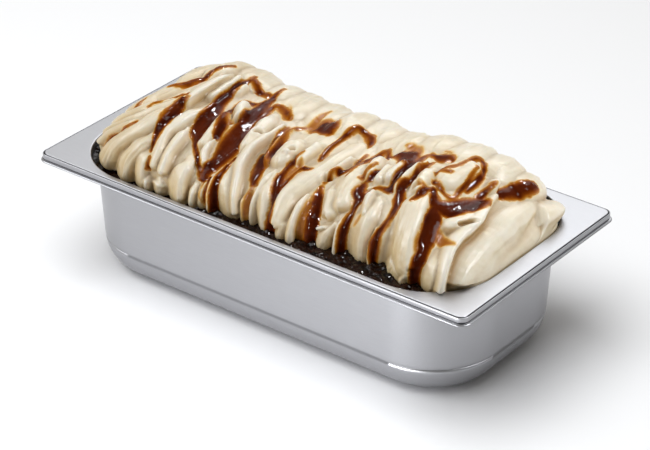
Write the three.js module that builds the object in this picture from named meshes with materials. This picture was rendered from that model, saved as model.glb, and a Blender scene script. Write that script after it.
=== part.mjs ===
// A stainless steel display pan heaped with tiramisu gelato. The gelato is laid in broad
// pleats across the pan, with caramel drizzle over the folds and dark crumbly syrup in the
// trough between the heap and the rim.
//
// Frame: millimetres, +Z up, origin at the centre of the pan's base. X runs along the pan,
// Y across it, and the side with the longest pleats faces -Y.
import * as THREE from 'three';

// ---------------------------------------------------------------- pan, driving dimensions
const SHEET = 0.8; // thickness of the steel
const RIM_Z = 88; // height of the flat flange
const LIP_HALF = { x: 180, y: 88 }; // half-size over the rolled lip
const OPENING_HALF = { x: 163.2, y: 80.6 }; // half-size of the mouth
const OPENING_RADIUS = 50;
const NECK_DEPTH = 6.5; // straight neck below the mouth
const BODY_HALF = { x: 162.2, y: 74.4 }; // inside of the body, below the stacking shoulder
const BODY_TOP_Z = 76.8;
const BODY_TAPER = 2.1; // each wall leans in by this down to the crease
const CREASE_Z = 23.4;
const CREASE_STEP = 0.6;
const BASE_FILLET = 22.8;
const CORNER_STEPS = 8;
const FILLET_STEPS = 5;

// ------------------------------------------------------------- gelato, driving dimensions
const WALL_GAP = 0.6; // between the gelato and the steel
const HEAP_Z = RIM_Z - 1; // level where the heap is widest
const HEAP_LEFT = -158;
const HEAP_RIGHT = 162;
const HEAP_FAR = 75.5;
const NEAR_EDGE = [ // distance of the near foot from the middle, along X
  [-158, 71.5], [-130, 73], [-118, 77.3], [-60, 77.3], [-46, 74.5], [-20, 72.5], [8, 72], [18, 76],
  [28, 74.5], [50, 74.5], [62, 70.5], [90, 70.5], [106, 74], [162, 74.5],
];
const PLAN_POWER = { left: 7, right: 6 };
const END_SLOPE = { from: 100, left: 1.6, right: 1.55 };
const ARCH_POWER = 2.3;
const CREST = [ // height of the heap above its widest level, along X
  [-100, 46.5], [-93, 43], [-85, 40], [-74, 37.5], [-60, 38.5], [-47, 34.5], [-36, 35.5],
  [-19, 32.5], [-11, 35], [2, 38], [10, 37.5], [22, 33.5], [33, 35.5], [43, 35], [52, 38],
  [60, 43], [75, 45.5], [90, 45.5], [100, 47],
];
const VALLEY = -4; // depth of the valleys below the mean heap
const LOBE_UNDERCUT = 4; // the pleats' feet curl in by this
const LOBE_Z = RIM_Z - 5; // underside of the pleats' feet
const NECK_HALF = { x: 152.5, y: 61 }; // gelato below the pleats' feet, inside the syrup
const NECK_RADIUS = 40;
const LEDGE_Z = 78.4; // the syrup lies on this ledge
const MM_PER_DEGREE = 1.05; // mean length of one degree of the arch
const COLUMN_STEP = 3.3;
const END_COLUMNS = { reach: 11, ratio: 0.66, count: 8 };
const ARCH_ROWS = 27;
const PLEAT_POWER = 2.2;
const DRIZZLE_RISE = 1.1;

// Pleats and curls. The spine is the crest line in (x, arch angle), where 0 degrees is the
// near foot of the heap, 90 its top and 180 the far foot. The flanks are the widths on the
// -X and the +X side of the crest.
const PLEATS = [
  // left end
  { rise: 5, flanks: [9, 7], spine: [[-146, 66], [-132, 72], [-120, 80], [-112, 92]] },
  { rise: 5, flanks: [8, 6], spine: [[-151, 50], [-135, 55], [-120, 61], [-108, 70]] },
  { rise: 5, flanks: [7, 6], spine: [[-150, 36], [-136, 43], [-122, 50], [-108, 60], [-101, 72]] },
  { rise: 5, flanks: [7, 5], spine: [[-149, 20], [-144, 30], [-134, 38], [-120, 46], [-108, 55]] },
  // near side, from left to right
  {
    rise: 6,
    flanks: [14, 7],
    spine: [[-131, 6], [-125, 20], [-116, 32], [-106, 44], [-99, 58], [-98, 66]],
  },
  { rise: 5, flanks: [11, 5], spine: [[-108, 5], [-107, 12], [-103, 22], [-99, 31], [-95, 38]] },
  { rise: 5, flanks: [9, 4], spine: [[-93, 5], [-94, 12], [-93, 22], [-89, 31]] },
  { rise: 6, flanks: [3.5, 3], spine: [[-89, 4], [-89, 9]] },
  { rise: 4, flanks: [8, 5], spine: [[-79, 5], [-79, 9]] },
  { rise: 7, flanks: [6, 4], spine: [[-78, 20], [-79, 35], [-79, 50], [-80, 60]] },
  { rise: 6, flanks: [6, 4.5], spine: [[-86, 22], [-87, 35], [-89, 48], [-87, 60], [-84, 72], [-84, 84]] },
  { rise: 6, flanks: [13, 5], spine: [[-60, 6], [-61, 15], [-60, 28], [-60, 38]] },
  { rise: 6.5, flanks: [4, 3.5], spine: [[-50, 4], [-50, 18]] },
  { rise: 4, flanks: [4, 3.5], spine: [[-44, 4], [-44, 25]] },
  { rise: 5.5, flanks: [3.5, 3], spine: [[-37.5, 3], [-38.5, 15], [-38.5, 30], [-37.5, 45]] },
  { rise: 4.5, flanks: [9, 6], spine: [[-23, 6], [-26, 18], [-30, 32], [-32, 48]] },
  {
    rise: 7,
    flanks: [6, 4],
    spine: [[-17, 8], [-20, 22], [-24, 35], [-28, 48], [-30, 62], [-31, 78], [-32, 90]],
  },
  { rise: 4.5, flanks: [4, 4], spine: [[-10, 4], [-11, 15], [-11, 28]] },
  { rise: 5.5, flanks: [3, 3.5], spine: [[-3.5, 4], [-3.5, 25], [-4, 42], [-3, 52]] },
  { rise: 5.5, flanks: [8, 5], spine: [[6, 5], [4, 18], [1, 33], [0, 48]] },
  {
    rise: 6.5,
    flanks: [7, 9],
    spine: [[19, 12], [18, 28], [18, 42], [21, 58], [24, 72], [24, 86], [22, 97]],
  },
  { rise: 5, flanks: [6, 5], spine: [[24, 5], [25, 12], [26, 20]] },
  { rise: 6, flanks: [4, 3.5], spine: [[31, 4], [31.5, 20], [31.5, 35], [31, 46]] },
  { rise: 4, flanks: [6, 6], spine: [[40, 5], [39, 20], [38, 34]] },
  { rise: 6.5, flanks: [12, 9], spine: [[57, 42], [54, 52], [51, 63], [47, 75], [44, 86]] },
  { rise: 6, flanks: [5, 8], spine: [[50, 32], [46, 44], [42, 57]] },
  { rise: 5, flanks: [6, 6], spine: [[54, 5], [55, 12], [60, 22]] },
  { rise: 6.5, flanks: [3, 3], spine: [[50, 16], [55, 19]] },
  { rise: 5.5, flanks: [3, 3], spine: [[64, 4], [64, 18], [66, 34]] },
  { rise: 6, flanks: [10, 6], spine: [[83, 6], [82, 20], [82, 35], [81, 50]] },
  { rise: 7, flanks: [3.5, 3], spine: [[78, 35], [76, 45], [74, 55]] },
  { rise: 5.5, flanks: [4, 3], spine: [[91, 4], [91, 15], [90, 28]] },
  { rise: 3.5, flanks: [3, 3], spine: [[96, 7], [95.5, 20], [95.5, 36]] },
  { rise: 6.5, flanks: [19, 5], spine: [[123, 14], [120, 28], [116, 42], [113, 55], [110, 68]] },
  { rise: 4.5, flanks: [11, 9], spine: [[112, 4], [114, 8]] },
  { rise: 5, flanks: [4, 3], spine: [[121, 3], [124, 8]] },
  { rise: 5.5, flanks: [7.5, 3.5], spine: [[139, 5], [139, 20], [138.5, 38]] },
  {
    rise: 7.5,
    flanks: [4, 3.5],
    spine: [[144.5, 2], [144, 20], [142.5, 36], [141, 50], [140.5, 65], [139.5, 77], [138.3, 88], [136, 96]],
  },
  { rise: 5.5, flanks: [8, 8], spine: [[154, 14], [154, 45], [153, 70], [151, 95], [149, 125]] },
  { rise: 6, flanks: [9, 5], spine: [[157, 132], [155, 148], [150, 172]] },
  // top, from left to right
  { rise: 7, flanks: [3.5, 3.5], spine: [[-95, 74], [-96, 90], [-96, 106]] },
  { rise: 6, flanks: [4, 3.5], spine: [[-89, 88], [-90, 100], [-92, 112]] },
  { rise: 5, flanks: [4, 4], spine: [[-82, 97], [-83, 107]] },
  { rise: 6.5, flanks: [4.5, 4.5], spine: [[-61, 83], [-66, 88], [-70, 93]] },
  { rise: 5.5, flanks: [5, 5], spine: [[-62, 54], [-64, 64], [-68, 76], [-72, 85]] },
  { rise: 6, flanks: [3, 3], spine: [[-53, 38], [-56, 48], [-57, 60]] },
  { rise: 6, flanks: [6, 8], spine: [[-36, 66], [-40, 75], [-44, 86], [-47, 94]] },
  { rise: 5.5, flanks: [2.5, 2.5], spine: [[-14, 57], [-19, 66], [-22, 78], [-25, 91]] },
  { rise: 6.5, flanks: [9, 9], spine: [[-6, 64], [-8, 72], [-11, 82]] },
  { rise: 8, flanks: [3, 3], spine: [[-3, 66], [0, 66]] },
  { rise: 6, flanks: [5, 5], spine: [[7, 68], [8, 78], [8, 85]] },
  { rise: 6, flanks: [4, 4], spine: [[33, 67], [34, 78], [35, 85]] },
  { rise: 6.5, flanks: [6, 6], spine: [[60, 70], [57, 79], [51, 87]] },
  { rise: 5, flanks: [4, 4], spine: [[71, 65], [70, 74], [68, 80]] },
  { rise: 6, flanks: [4, 4], spine: [[76, 68], [76, 78], [75, 86]] },
  { rise: 7, flanks: [3, 3], spine: [[87, 64], [86, 78], [86, 90]] },
  { rise: 6, flanks: [6, 7], spine: [[100, 68], [97, 78], [95, 86]] },
  { rise: 6, flanks: [10, 10], spine: [[109, 86], [111, 96], [112, 104]] },
  { rise: 6.5, flanks: [6, 5], spine: [[133, 60], [136, 70], [137, 82]] },
  { rise: 7, flanks: [4, 4], spine: [[131, 97], [128, 103]] },
];

// Far side: one pleat for each row, [x at its top, x at its foot, top angle, half-width].
const FAR_PLEATS = [
  [-128, -140, 100, 12], [-108, -121, 107, 14], [-86, -100, 118, 15], [-64, -80, 119, 15],
  [-42, -60, 110, 15], [-20, -40, 113, 15], [2, -18, 110, 16], [25, 6, 118, 16],
  [49, 30, 110, 17], [74, 56, 116, 17], [98, 81, 110, 17], [121, 106, 118, 15],
  [138, 126, 124, 12],
];
const FAR_FOOT = 174;
const FAR_RISE = 5.4;
const FOOT_ANGLE = 10; // a crest line that starts below this angle runs on to the foot
const FOOT_EXTRA = 4;
const TIP_SHARE = 0.3; // the last part of a pleat, over which it narrows and sinks
const TIP_WIDTH = 0.55;
const TIP_RISE = 0.45;

// Caramel drizzle: paths of [x, arch angle, half-width].
const DRIZZLE = [
  // left end
  [
    [-144, 8, 0.9], [-141, 21, 1], [-137, 29, 1.1], [-129, 34, 0.9], [-122, 40, 0.7],
    [-115, 46, 0.5],
  ],
  [[-138, 61, 0.5], [-134, 65, 0.7], [-130, 69, 0.5]],
  [[-116, 60, 0.5], [-112, 68, 0.9], [-108, 75, 1.2], [-103, 80, 1]],
  [[-119, 80, 0.8], [-113, 86, 2.2], [-109, 94, 2.6], [-105, 103, 2.2], [-101, 112, 1.2]],
  [
    [-100, 75, 1.5], [-98, 72, 2.6], [-97, 66, 3.6], [-96, 58, 3.8], [-95, 50, 3.2],
    [-94, 43, 2.2], [-93, 36, 1.4], [-92, 30, 0.9],
  ],
  [[-90, 25, 0.6], [-90, 19, 0.9], [-90.5, 14, 0.5]],
  // the first long run and the line along the crest
  [
    [-86, 112, 1.6], [-86.3, 105, 2], [-85.7, 101, 2.1], [-84.3, 96, 2.4], [-83, 91, 3.2],
    [-80, 82, 4.4], [-76.5, 72, 5.2], [-74.5, 63, 4.4], [-70, 55.5, 2.6], [-66, 49, 1.6],
    [-60, 43.5, 1.3], [-55.7, 38.5, 1.2], [-51.5, 32.5, 1.4], [-49, 27, 1.6],
  ],
  [
    [-87, 117, 0.8], [-86, 113, 1.8], [-82.5, 111.5, 2.2], [-79, 110.5, 2], [-75, 109.5, 1.8],
    [-70.5, 109, 1.8], [-66, 108, 1.6],
  ],
  // the strand beside it
  [
    [-69, 96, 0.8], [-73.5, 96.5, 1], [-73.8, 92.5, 1.1], [-71.5, 86.5, 1.5], [-69.5, 81, 2],
    [-66, 75.5, 2.8], [-61.5, 69, 3.2], [-58, 63.5, 3],
  ],
  [[-70, 96, 1.2], [-66.5, 95.5, 1.8], [-64, 97, 1.2]],
  // the widest run
  [
    [-62, 118, 0.7], [-61.5, 112, 1.6], [-61, 106, 2.8], [-60, 100, 4], [-57, 93, 5],
    [-55, 87.5, 4.8], [-53, 81.5, 4.6], [-51, 75, 4.8], [-48.5, 66, 6], [-45.5, 58, 6.4],
    [-45, 50, 5.4], [-46, 42, 4.2], [-48, 34, 3.2], [-47.5, 26, 2.8],
  ],
  [[-43, 30, 1.6], [-41.5, 22, 1.3], [-41, 12, 1.2], [-40, 3, 1.2]],
  [
    [-36.5, 54, 0.8], [-36, 45, 1.4], [-36, 35, 1.8], [-35.8, 25, 2.2], [-35.3, 14, 2.4],
    [-34, 0, 2.4],
  ],
  [
    [-50, 88, 0.8], [-51, 93, 1], [-53, 98.5, 1.2], [-52.3, 103.5, 1.3], [-47.5, 102, 1.8],
    [-43, 100, 2.2], [-39, 98, 2], [-36, 97, 1.2],
  ],
  // the twin strands that end in a pool
  [[-29, 91, 0.6], [-28, 86, 0.9], [-24, 77, 0.9], [-21, 70, 1], [-19, 63, 1.4]],
  [
    [-22, 97, 0.8], [-26, 91, 1.2], [-22, 81.5, 1.5], [-18, 70.5, 1.3], [-16, 63.5, 1.2],
    [-13.5, 56, 1.2],
  ],
  [[-22, 66, 1.2], [-20, 60, 2.4], [-16.5, 51, 3.6], [-14.5, 44, 3.6], [-12.5, 37, 2.6]],
  // the dark side of the pool on the crest
  [[-14, 97, 3.6], [-10, 100, 5.4], [-6, 99.5, 5.8], [-2, 98, 4.8], [1, 95, 2.6]],
  // the run with a hooked branch
  [
    [6, 70, 1], [4.5, 64, 1.6], [3.5, 56, 2.2], [4.5, 48.5, 2.8], [6, 41, 3], [9, 31, 3],
    [12.5, 20, 3.4], [13.5, 11, 3.6], [14, 0, 3.4],
  ],
  [[17.5, 66, 1.8], [14, 65, 1.2], [11.5, 61, 1.1], [10.5, 54, 1.2], [9.5, 47, 1.4], [8, 41, 1.6]],
  // the first loop on the crest
  [
    [17, 77, 0.9], [15.5, 82, 1.2], [13.5, 88, 1.8], [12.5, 93, 2.1], [12, 98, 2.2],
    [12, 103, 2], [13, 106, 1.8], [16, 108.5, 1.6], [20, 107.5, 1.8], [24, 106, 2.6],
    [28, 101, 1.6], [30, 98, 0.8],
  ],
  [
    [36.5, 91, 0.7], [39.5, 85, 1.3], [42, 80, 1.7], [43, 75, 2], [41.5, 71.5, 2.4],
    [37, 69.5, 2], [34.5, 66, 1], [34, 60, 0.8],
  ],
  // the broad fan below it
  [
    [34, 56, 1.2], [36, 50, 2], [38.5, 43, 2.8], [41, 31, 3.6], [43, 18, 3.8], [43.5, 6, 3.8],
    [43.5, 0, 3.8],
  ],
  // the second loop and its pool
  [
    [47.5, 65.5, 0.8], [47, 72, 1.3], [45.5, 80, 1.9], [44.3, 87, 2.3], [43.5, 92, 2],
    [43, 96, 1.6], [46, 97, 1.5], [50, 94, 1.5], [54, 91, 1.6], [57, 88.5, 1.2],
  ],
  [[57, 90, 1.6], [61, 93, 3.4], [66, 94, 5.2], [71, 91, 5.8], [75, 87, 4.6], [77, 83, 2]],
  // the run that hooks down from it, and the one it meets
  [
    [79, 98, 0.9], [79, 93, 1.8], [79.5, 88, 2.4], [80.5, 82.5, 2.4], [80.5, 78, 1.8],
    [81.5, 72, 2.4], [83.5, 66, 3.2], [82.5, 61, 2.6], [78, 60, 1.8], [74, 59.5, 1.3],
    [71.5, 56, 1.2], [69, 51, 1],
  ],
  [
    [62.5, 62, 1.2], [64, 57, 2.6], [65.5, 52, 3.6], [68, 47, 2.8], [68.3, 40, 1.7],
    [68.7, 31, 2], [68.6, 24, 2.4], [68.5, 16, 2.7], [69, 7, 2.7], [69, 0, 2.6],
  ],
  [[62.5, 64, 0.8], [65.5, 69.5, 1.6], [66.5, 76, 1]],
  [[58.5, 64, 0.7], [60.5, 70, 0.8], [61.5, 76, 0.7]],
  // the next run, from the crest to the foot
  [
    [88, 93, 0.8], [88, 87, 1], [89.5, 80, 0.9], [90, 74, 0.8], [89.3, 68, 1.4], [90.7, 62, 2.4],
    [92.8, 56.5, 3.3], [95, 50, 2.8], [95, 44, 2.2], [95, 37.5, 1.9], [94.3, 30, 2.2],
    [93.3, 23, 2.8], [92.6, 16, 3.4], [93, 9, 3.4], [93.5, 2, 2.4],
  ],
  [[80.5, 99, 1.2], [85, 99, 2.2], [89, 98.5, 3], [93, 98, 3], [97, 98, 2], [100, 97, 1]],
  [[109, 74, 0.7], [107, 70, 1.8], [105.5, 64, 2.4], [105, 60.5, 2.2], [103.5, 57, 1.2]],
  // the loop round the flat lobe
  [
    [102.5, 83, 0.9], [102, 87, 1.1], [104, 89.3, 1.2], [108, 91.5, 1], [108.3, 95, 1],
    [108, 100, 1.1], [108.5, 105, 1.3], [110.5, 108.5, 1.5], [113.5, 108.5, 1.6],
    [117, 106, 1.5], [119.5, 102.5, 1.6], [121.3, 98, 1.9], [123, 93, 1.8], [124, 88, 1.2],
  ],
  [[104, 86, 0.6], [107, 86.5, 1.2], [109, 87, 1]],
  [
    [116, 99, 0.8], [118, 94, 1.1], [120.2, 89.5, 1.2], [121.5, 84, 1.1], [122.3, 78, 1.2],
    [118, 77, 0.9], [113, 77.5, 0.9], [108, 78, 0.8], [105.3, 78.5, 0.8],
  ],
  // the pool at the right and its run to the foot
  [
    [109.5, 74, 1.6], [113, 70.5, 3.2], [119, 67.5, 4.8], [125, 70, 6], [129, 76, 6],
    [132.5, 83, 5], [135.5, 88, 3],
  ],
  [
    [118.5, 66, 3], [121.5, 61, 4.6], [123, 56.5, 5.2], [125, 51, 5], [126.5, 45, 5.2],
    [127.3, 38, 4.6], [128.3, 31, 3.6], [128.3, 23, 3.6], [127.6, 15, 3.2], [127.5, 7, 3],
    [127.5, 0, 3],
  ],
  [[130, 98, 1], [130.5, 94, 1.4], [131, 90, 2.2]],
  // the oval pool
  [
    [136, 99, 1.2], [136.8, 103, 3.2], [138, 109, 4.4], [139, 116, 4.8], [140, 123, 4.6],
    [141, 130, 3],
  ],
];

// ------------------------------------------------------------ syrup, driving dimensions
const SYRUP_GAP = 0.4;
const SYRUP_TOP_Z = RIM_Z - 5.7;
const SYRUP_BUMP = 0.3; // height of the crumbs in its surface
const SYRUP_STEPS = 22; // corner steps of the ring
const SYRUP_SIDE_STEPS = { long: 26, short: 8 };

// ---------------------------------------------------------------------- small functions
const radians = THREE.MathUtils.degToRad;

function interpolate(table, x) {
  const last = table.length - 1;
  if (x <= table[0][0]) return table[0][1];
  if (x >= table[last][0]) return table[last][1];
  const i = table.findIndex(([at]) => at > x);
  const [x0, y0] = table[i - 1];
  const [x1, y1] = table[i];
  const t = THREE.MathUtils.smoothstep(x, x0, x1);
  return y0 + (y1 - y0) * t;
}

// Points of a rounded rectangle, anticlockwise seen from above.
function roundedLoop(halfX, halfY, radius, z, cornerSteps, sideSteps = { long: 1, short: 1 }) {
  const corners = [
    [halfX - radius, -(halfY - radius), -90],
    [halfX - radius, halfY - radius, 0],
    [-(halfX - radius), halfY - radius, 90],
    [-(halfX - radius), -(halfY - radius), 180],
  ];
  const loop = [];
  corners.forEach(([cx, cy, start], k) => {
    for (let i = 0; i <= cornerSteps; i += 1) {
      const a = radians(start + (90 * i) / cornerSteps);
      loop.push(new THREE.Vector3(cx + radius * Math.cos(a), cy + radius * Math.sin(a), z));
    }
    const [nx, ny, next] = corners[(k + 1) % 4];
    const from = loop[loop.length - 1];
    const b = radians(next);
    const to = new THREE.Vector3(nx + radius * Math.cos(b), ny + radius * Math.sin(b), z);
    const steps = k % 2 === 0 ? sideSteps.short : sideSteps.long;
    for (let i = 1; i < steps; i += 1) loop.push(from.clone().lerp(to, i / steps));
  });
  return loop;
}

// The point of a rounded rectangle that is nearest to (x, y).
function roundedPointNear(x, y, halfX, halfY, radius) {
  const coreX = THREE.MathUtils.clamp(x, radius - halfX, halfX - radius);
  const coreY = THREE.MathUtils.clamp(y, radius - halfY, halfY - radius);
  const length = Math.hypot(x - coreX, y - coreY);
  return [coreX + ((x - coreX) * radius) / length, coreY + ((y - coreY) * radius) / length];
}

// A closed body from rings of equal length, which run from the inside floor over the rim to
// the outside of the base. Both end rings are filled in flat.
function bodyFromRings(rings) {
  const n = rings[0].length;
  const positions = rings.flatMap((ring) => ring.flatMap((p) => [p.x, p.y, p.z]));
  const triangles = [];
  for (let r = 0; r + 1 < rings.length; r += 1) {
    for (let i = 0; i < n; i += 1) {
      const j = (i + 1) % n;
      const [a, b, c, d] = [r * n + i, r * n + j, (r + 1) * n + j, (r + 1) * n + i];
      triangles.push(a, c, b, a, d, c);
    }
  }
  [0, rings.length - 1].forEach((r) => {
    const centre = new THREE.Vector3();
    rings[r].forEach((p) => centre.addScaledVector(p, 1 / n));
    positions.push(centre.x, centre.y, centre.z);
    const hub = positions.length / 3 - 1;
    for (let i = 0; i < n; i += 1) {
      const j = (i + 1) % n;
      if (r === 0) triangles.push(hub, r * n + i, r * n + j);
      else triangles.push(hub, r * n + j, r * n + i);
    }
  });
  return bodyGeometry(positions, triangles);
}

function bodyGeometry(positions, triangles) {
  const geometry = new THREE.BufferGeometry();
  geometry.setAttribute('position', new THREE.Float32BufferAttribute(positions, 3));
  geometry.setIndex(triangles);
  geometry.computeVertexNormals();
  return geometry;
}

// ------------------------------------------------------------------------------- the pan
// One ring of the pan: outline half-sizes, corner radius and height.
function panRing(halfX, halfY, radius, z) {
  return roundedLoop(halfX, halfY, radius, z, CORNER_STEPS);
}

// The wall below the mouth, from the base up, as the inside or (grown by the sheet) outside.
function panWallRings(grow) {
  const lowX = BODY_HALF.x - BODY_TAPER;
  const lowY = BODY_HALF.y - BODY_TAPER;
  const radius = OPENING_RADIUS;
  const rings = [];
  const filletX = lowX - CREASE_STEP;
  const filletY = lowY - CREASE_STEP;
  const reach = BASE_FILLET + grow;
  const floor = SHEET - grow;
  for (let i = 0; i <= FILLET_STEPS; i += 1) {
    const a = radians((90 * i) / FILLET_STEPS);
    const inset = BASE_FILLET - reach * Math.sin(a);
    const z = floor + reach * (1 - Math.cos(a));
    rings.push(panRing(filletX - inset, filletY - inset, radius - 1 - inset, z));
  }
  rings.push(panRing(lowX + grow, lowY + grow, radius + grow, CREASE_Z + CREASE_STEP * 2));
  rings.push(panRing(BODY_HALF.x + grow, BODY_HALF.y + grow, radius + grow, BODY_TOP_Z - grow));
  const shoulderFoot = RIM_Z - NECK_DEPTH;
  const shoulder = [[0.13, 0.3], [0.5, 0.55], [0.87, 0.78], [1, 1]];
  shoulder.forEach(([out, up]) => {
    const halfX = THREE.MathUtils.lerp(BODY_HALF.x, OPENING_HALF.x, out) + grow;
    const halfY = THREE.MathUtils.lerp(BODY_HALF.y, OPENING_HALF.y, out) + grow;
    const z = THREE.MathUtils.lerp(BODY_TOP_Z, shoulderFoot, up) - grow * (1 - out);
    rings.push(panRing(halfX, halfY, radius + grow, z));
  });
  return rings;
}

function makePan() {
  const opening = (out, drop) => panRing(
    OPENING_HALF.x + out, OPENING_HALF.y + out, OPENING_RADIUS + out, RIM_Z - drop);
  // the lip's outline, measured inwards from the widest point of the pan
  const lip = (inset, drop, radius) => panRing(LIP_HALF.x - inset, LIP_HALF.y - inset, radius, RIM_Z - drop);
  const rings = [
    ...panWallRings(0),
    opening(0, 1.6),
    opening(0.5, 0.5),
    opening(1.6, 0),
    lip(3.2, 0, 5),
    lip(2.35, 0.35, 5.8),
    lip(2, 1.2, 6),
    lip(2, 3.2, 6),
    lip(0.35, 4, 7.6),
    lip(0, 4.4, 8),
    lip(0.3, 5, 7.7),
    lip(1.2, 4.9, 6.8),
    lip(2.8, 3.9, 5.2),
    lip(2.8, 1.5, 5.2),
    lip(3.4, 0.8, 4.8),
    opening(1.9, 0.8),
    opening(0.8, 1.9),
    ...panWallRings(SHEET).reverse(),
  ];
  return bodyFromRings(rings);
}

// ---------------------------------------------------------------------------- the gelato
function planShare(x) {
  const t = Math.min(Math.abs(x / (x < 0 ? HEAP_LEFT : HEAP_RIGHT)), 1);
  const power = x < 0 ? PLAN_POWER.left : PLAN_POWER.right;
  return (1 - t ** power) ** (1 / power);
}

function endShare(x) {
  const tip = x < 0 ? -HEAP_LEFT : HEAP_RIGHT;
  const power = x < 0 ? END_SLOPE.left : END_SLOPE.right;
  const t = THREE.MathUtils.clamp((Math.abs(x) - END_SLOPE.from) / (tip - END_SLOPE.from), 0, 1);
  return (1 - t ** power) ** (1 / power);
}

// The smooth heap, before its pleats.
function heapPoint(x, degrees) {
  const c = Math.cos(radians(degrees));
  const s = Math.max(Math.sin(radians(degrees)), 0);
  const half = (c > 0 ? interpolate(NEAR_EDGE, x) : HEAP_FAR) * planShare(x);
  const y = -half * Math.sign(c) * Math.abs(c) ** (2 / ARCH_POWER);
  const crest = interpolate(CREST, x) * endShare(x);
  return new THREE.Vector3(x, y, HEAP_Z + crest * s ** (2 / ARCH_POWER));
}

function heapNormal(x, degrees) {
  const step = 1.5;
  const [x0, x1] = [Math.max(x - step, HEAP_LEFT + 0.02), Math.min(x + step, HEAP_RIGHT - 0.02)];
  const [d0, d1] = [Math.max(degrees - step, 0), Math.min(degrees + step, 180)];
  const along = heapPoint(x1, degrees).sub(heapPoint(x0, degrees));
  const around = heapPoint(x, d1).sub(heapPoint(x, d0));
  return along.cross(around).normalize();
}

// The place on a polyline of the map nearest to (x, degrees): its distance in mm, the side
// it is seen from, the share of the line passed, and the half-width if the line carries one.
function nearestOnLine(line, x, degrees) {
  let best = { distance: Infinity, side: 1, along: 0, width: 0 };
  for (let i = 0; i + 1 < line.length; i += 1) {
    const [ax, ay, aw = 0] = [line[i][0], line[i][1] * MM_PER_DEGREE, line[i][2]];
    const [bx, by, bw = 0] = [line[i + 1][0], line[i + 1][1] * MM_PER_DEGREE, line[i + 1][2]];
    const [dx, dy] = [bx - ax, by - ay];
    const [px, py] = [x - ax, degrees * MM_PER_DEGREE - ay];
    const t = THREE.MathUtils.clamp((px * dx + py * dy) / (dx * dx + dy * dy), 0, 1);
    const distance = Math.hypot(px - t * dx, py - t * dy);
    if (distance < best.distance) {
      const side = Math.sign(px * dy - py * dx) || 1;
      best = { distance, side, along: (i + t) / (line.length - 1), width: aw + (bw - aw) * t };
    }
  }
  return best;
}

function withFoot({ rise, flanks, spine }) {
  const [[x, angle], [nextX, nextAngle]] = spine;
  if (angle >= FOOT_ANGLE) return { rise, flanks, spine };
  const step = FOOT_EXTRA / (nextAngle - angle);
  return { rise, flanks, spine: [[x - (nextX - x) * step, angle - FOOT_EXTRA], ...spine] };
}

function farPleat([top, foot, topAngle, half]) {
  return {
    rise: FAR_RISE,
    flanks: [half, half],
    spine: [[top, topAngle], [(top + foot) / 2, (topAngle + FAR_FOOT) / 2], [foot, FAR_FOOT]],
  };
}

const ALL_PLEATS = [...PLEATS.map(withFoot), ...FAR_PLEATS.map(farPleat)];

// Height of the pleats and the drizzle on them, above the valleys.
function relief(x, degrees) {
  let height = 0;
  ALL_PLEATS.forEach(({ rise, flanks, spine }) => {
    const { distance, side, along } = nearestOnLine(spine, x, degrees);
    const tip = THREE.MathUtils.smoothstep(1 - along, 0, TIP_SHARE);
    const width = flanks[side > 0 ? 1 : 0] * THREE.MathUtils.lerp(TIP_WIDTH, 1, tip);
    const share = distance / width;
    const top = rise * THREE.MathUtils.lerp(TIP_RISE, 1, tip);
    if (share < 1) height = Math.max(height, top * (1 - share ** PLEAT_POWER));
  });
  let sauce = 0;
  DRIZZLE.forEach((path) => {
    const { distance, width } = nearestOnLine(path, x, degrees);
    const share = distance / width;
    if (share < 1) sauce = Math.max(sauce, DRIZZLE_RISE * (1 - share ** 2));
  });
  return height + sauce;
}

// The mean relief over one facet, so that folds that run across the grid stay smooth.
function meanRelief(x, degrees) {
  const shares = [-1 / 3, 0, 1 / 3];
  let sum = 0;
  shares.forEach((across) => {
    shares.forEach((around) => {
      sum += relief(x + across * COLUMN_STEP, degrees + (around * 180) / ARCH_ROWS);
    });
  });
  return sum / shares.length ** 2;
}

function gelatoPoint(x, degrees) {
  const endFade = THREE.MathUtils.smoothstep(Math.min(x - HEAP_LEFT, HEAP_RIGHT - x), 0, 6);
  const lift = (VALLEY + meanRelief(x, degrees)) * endFade;
  return keptInMouth(heapPoint(x, degrees).addScaledVector(heapNormal(x, degrees), lift));
}

// A point below the rim is held off the pan's wall, as the gelato is pressed flat there.
function keptInMouth(point) {
  const halfX = OPENING_HALF.x - WALL_GAP;
  const halfY = OPENING_HALF.y - WALL_GAP;
  const radius = OPENING_RADIUS - WALL_GAP;
  const outX = Math.max(Math.abs(point.x) - (halfX - radius), 0);
  const outY = Math.max(Math.abs(point.y) - (halfY - radius), 0);
  if (point.z > RIM_Z + WALL_GAP || Math.hypot(outX, outY) < radius) return point;
  const [x, y] = roundedPointNear(point.x, point.y, halfX, halfY, radius);
  return new THREE.Vector3(x, y, point.z);
}

function gelatoColumns() {
  const ends = [];
  for (let i = 0; i < END_COLUMNS.count; i += 1) ends.push(END_COLUMNS.reach * END_COLUMNS.ratio ** i);
  const left = ends.map((gap) => HEAP_LEFT + gap).reverse();
  const right = ends.map((gap) => HEAP_RIGHT - gap);
  const [from, to] = [left[left.length - 1], right[0]];
  const count = Math.round((to - from) / COLUMN_STEP);
  const middle = [];
  for (let i = 1; i < count; i += 1) middle.push(from + ((to - from) * i) / count);
  return [...left, ...middle, ...right];
}

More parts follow.
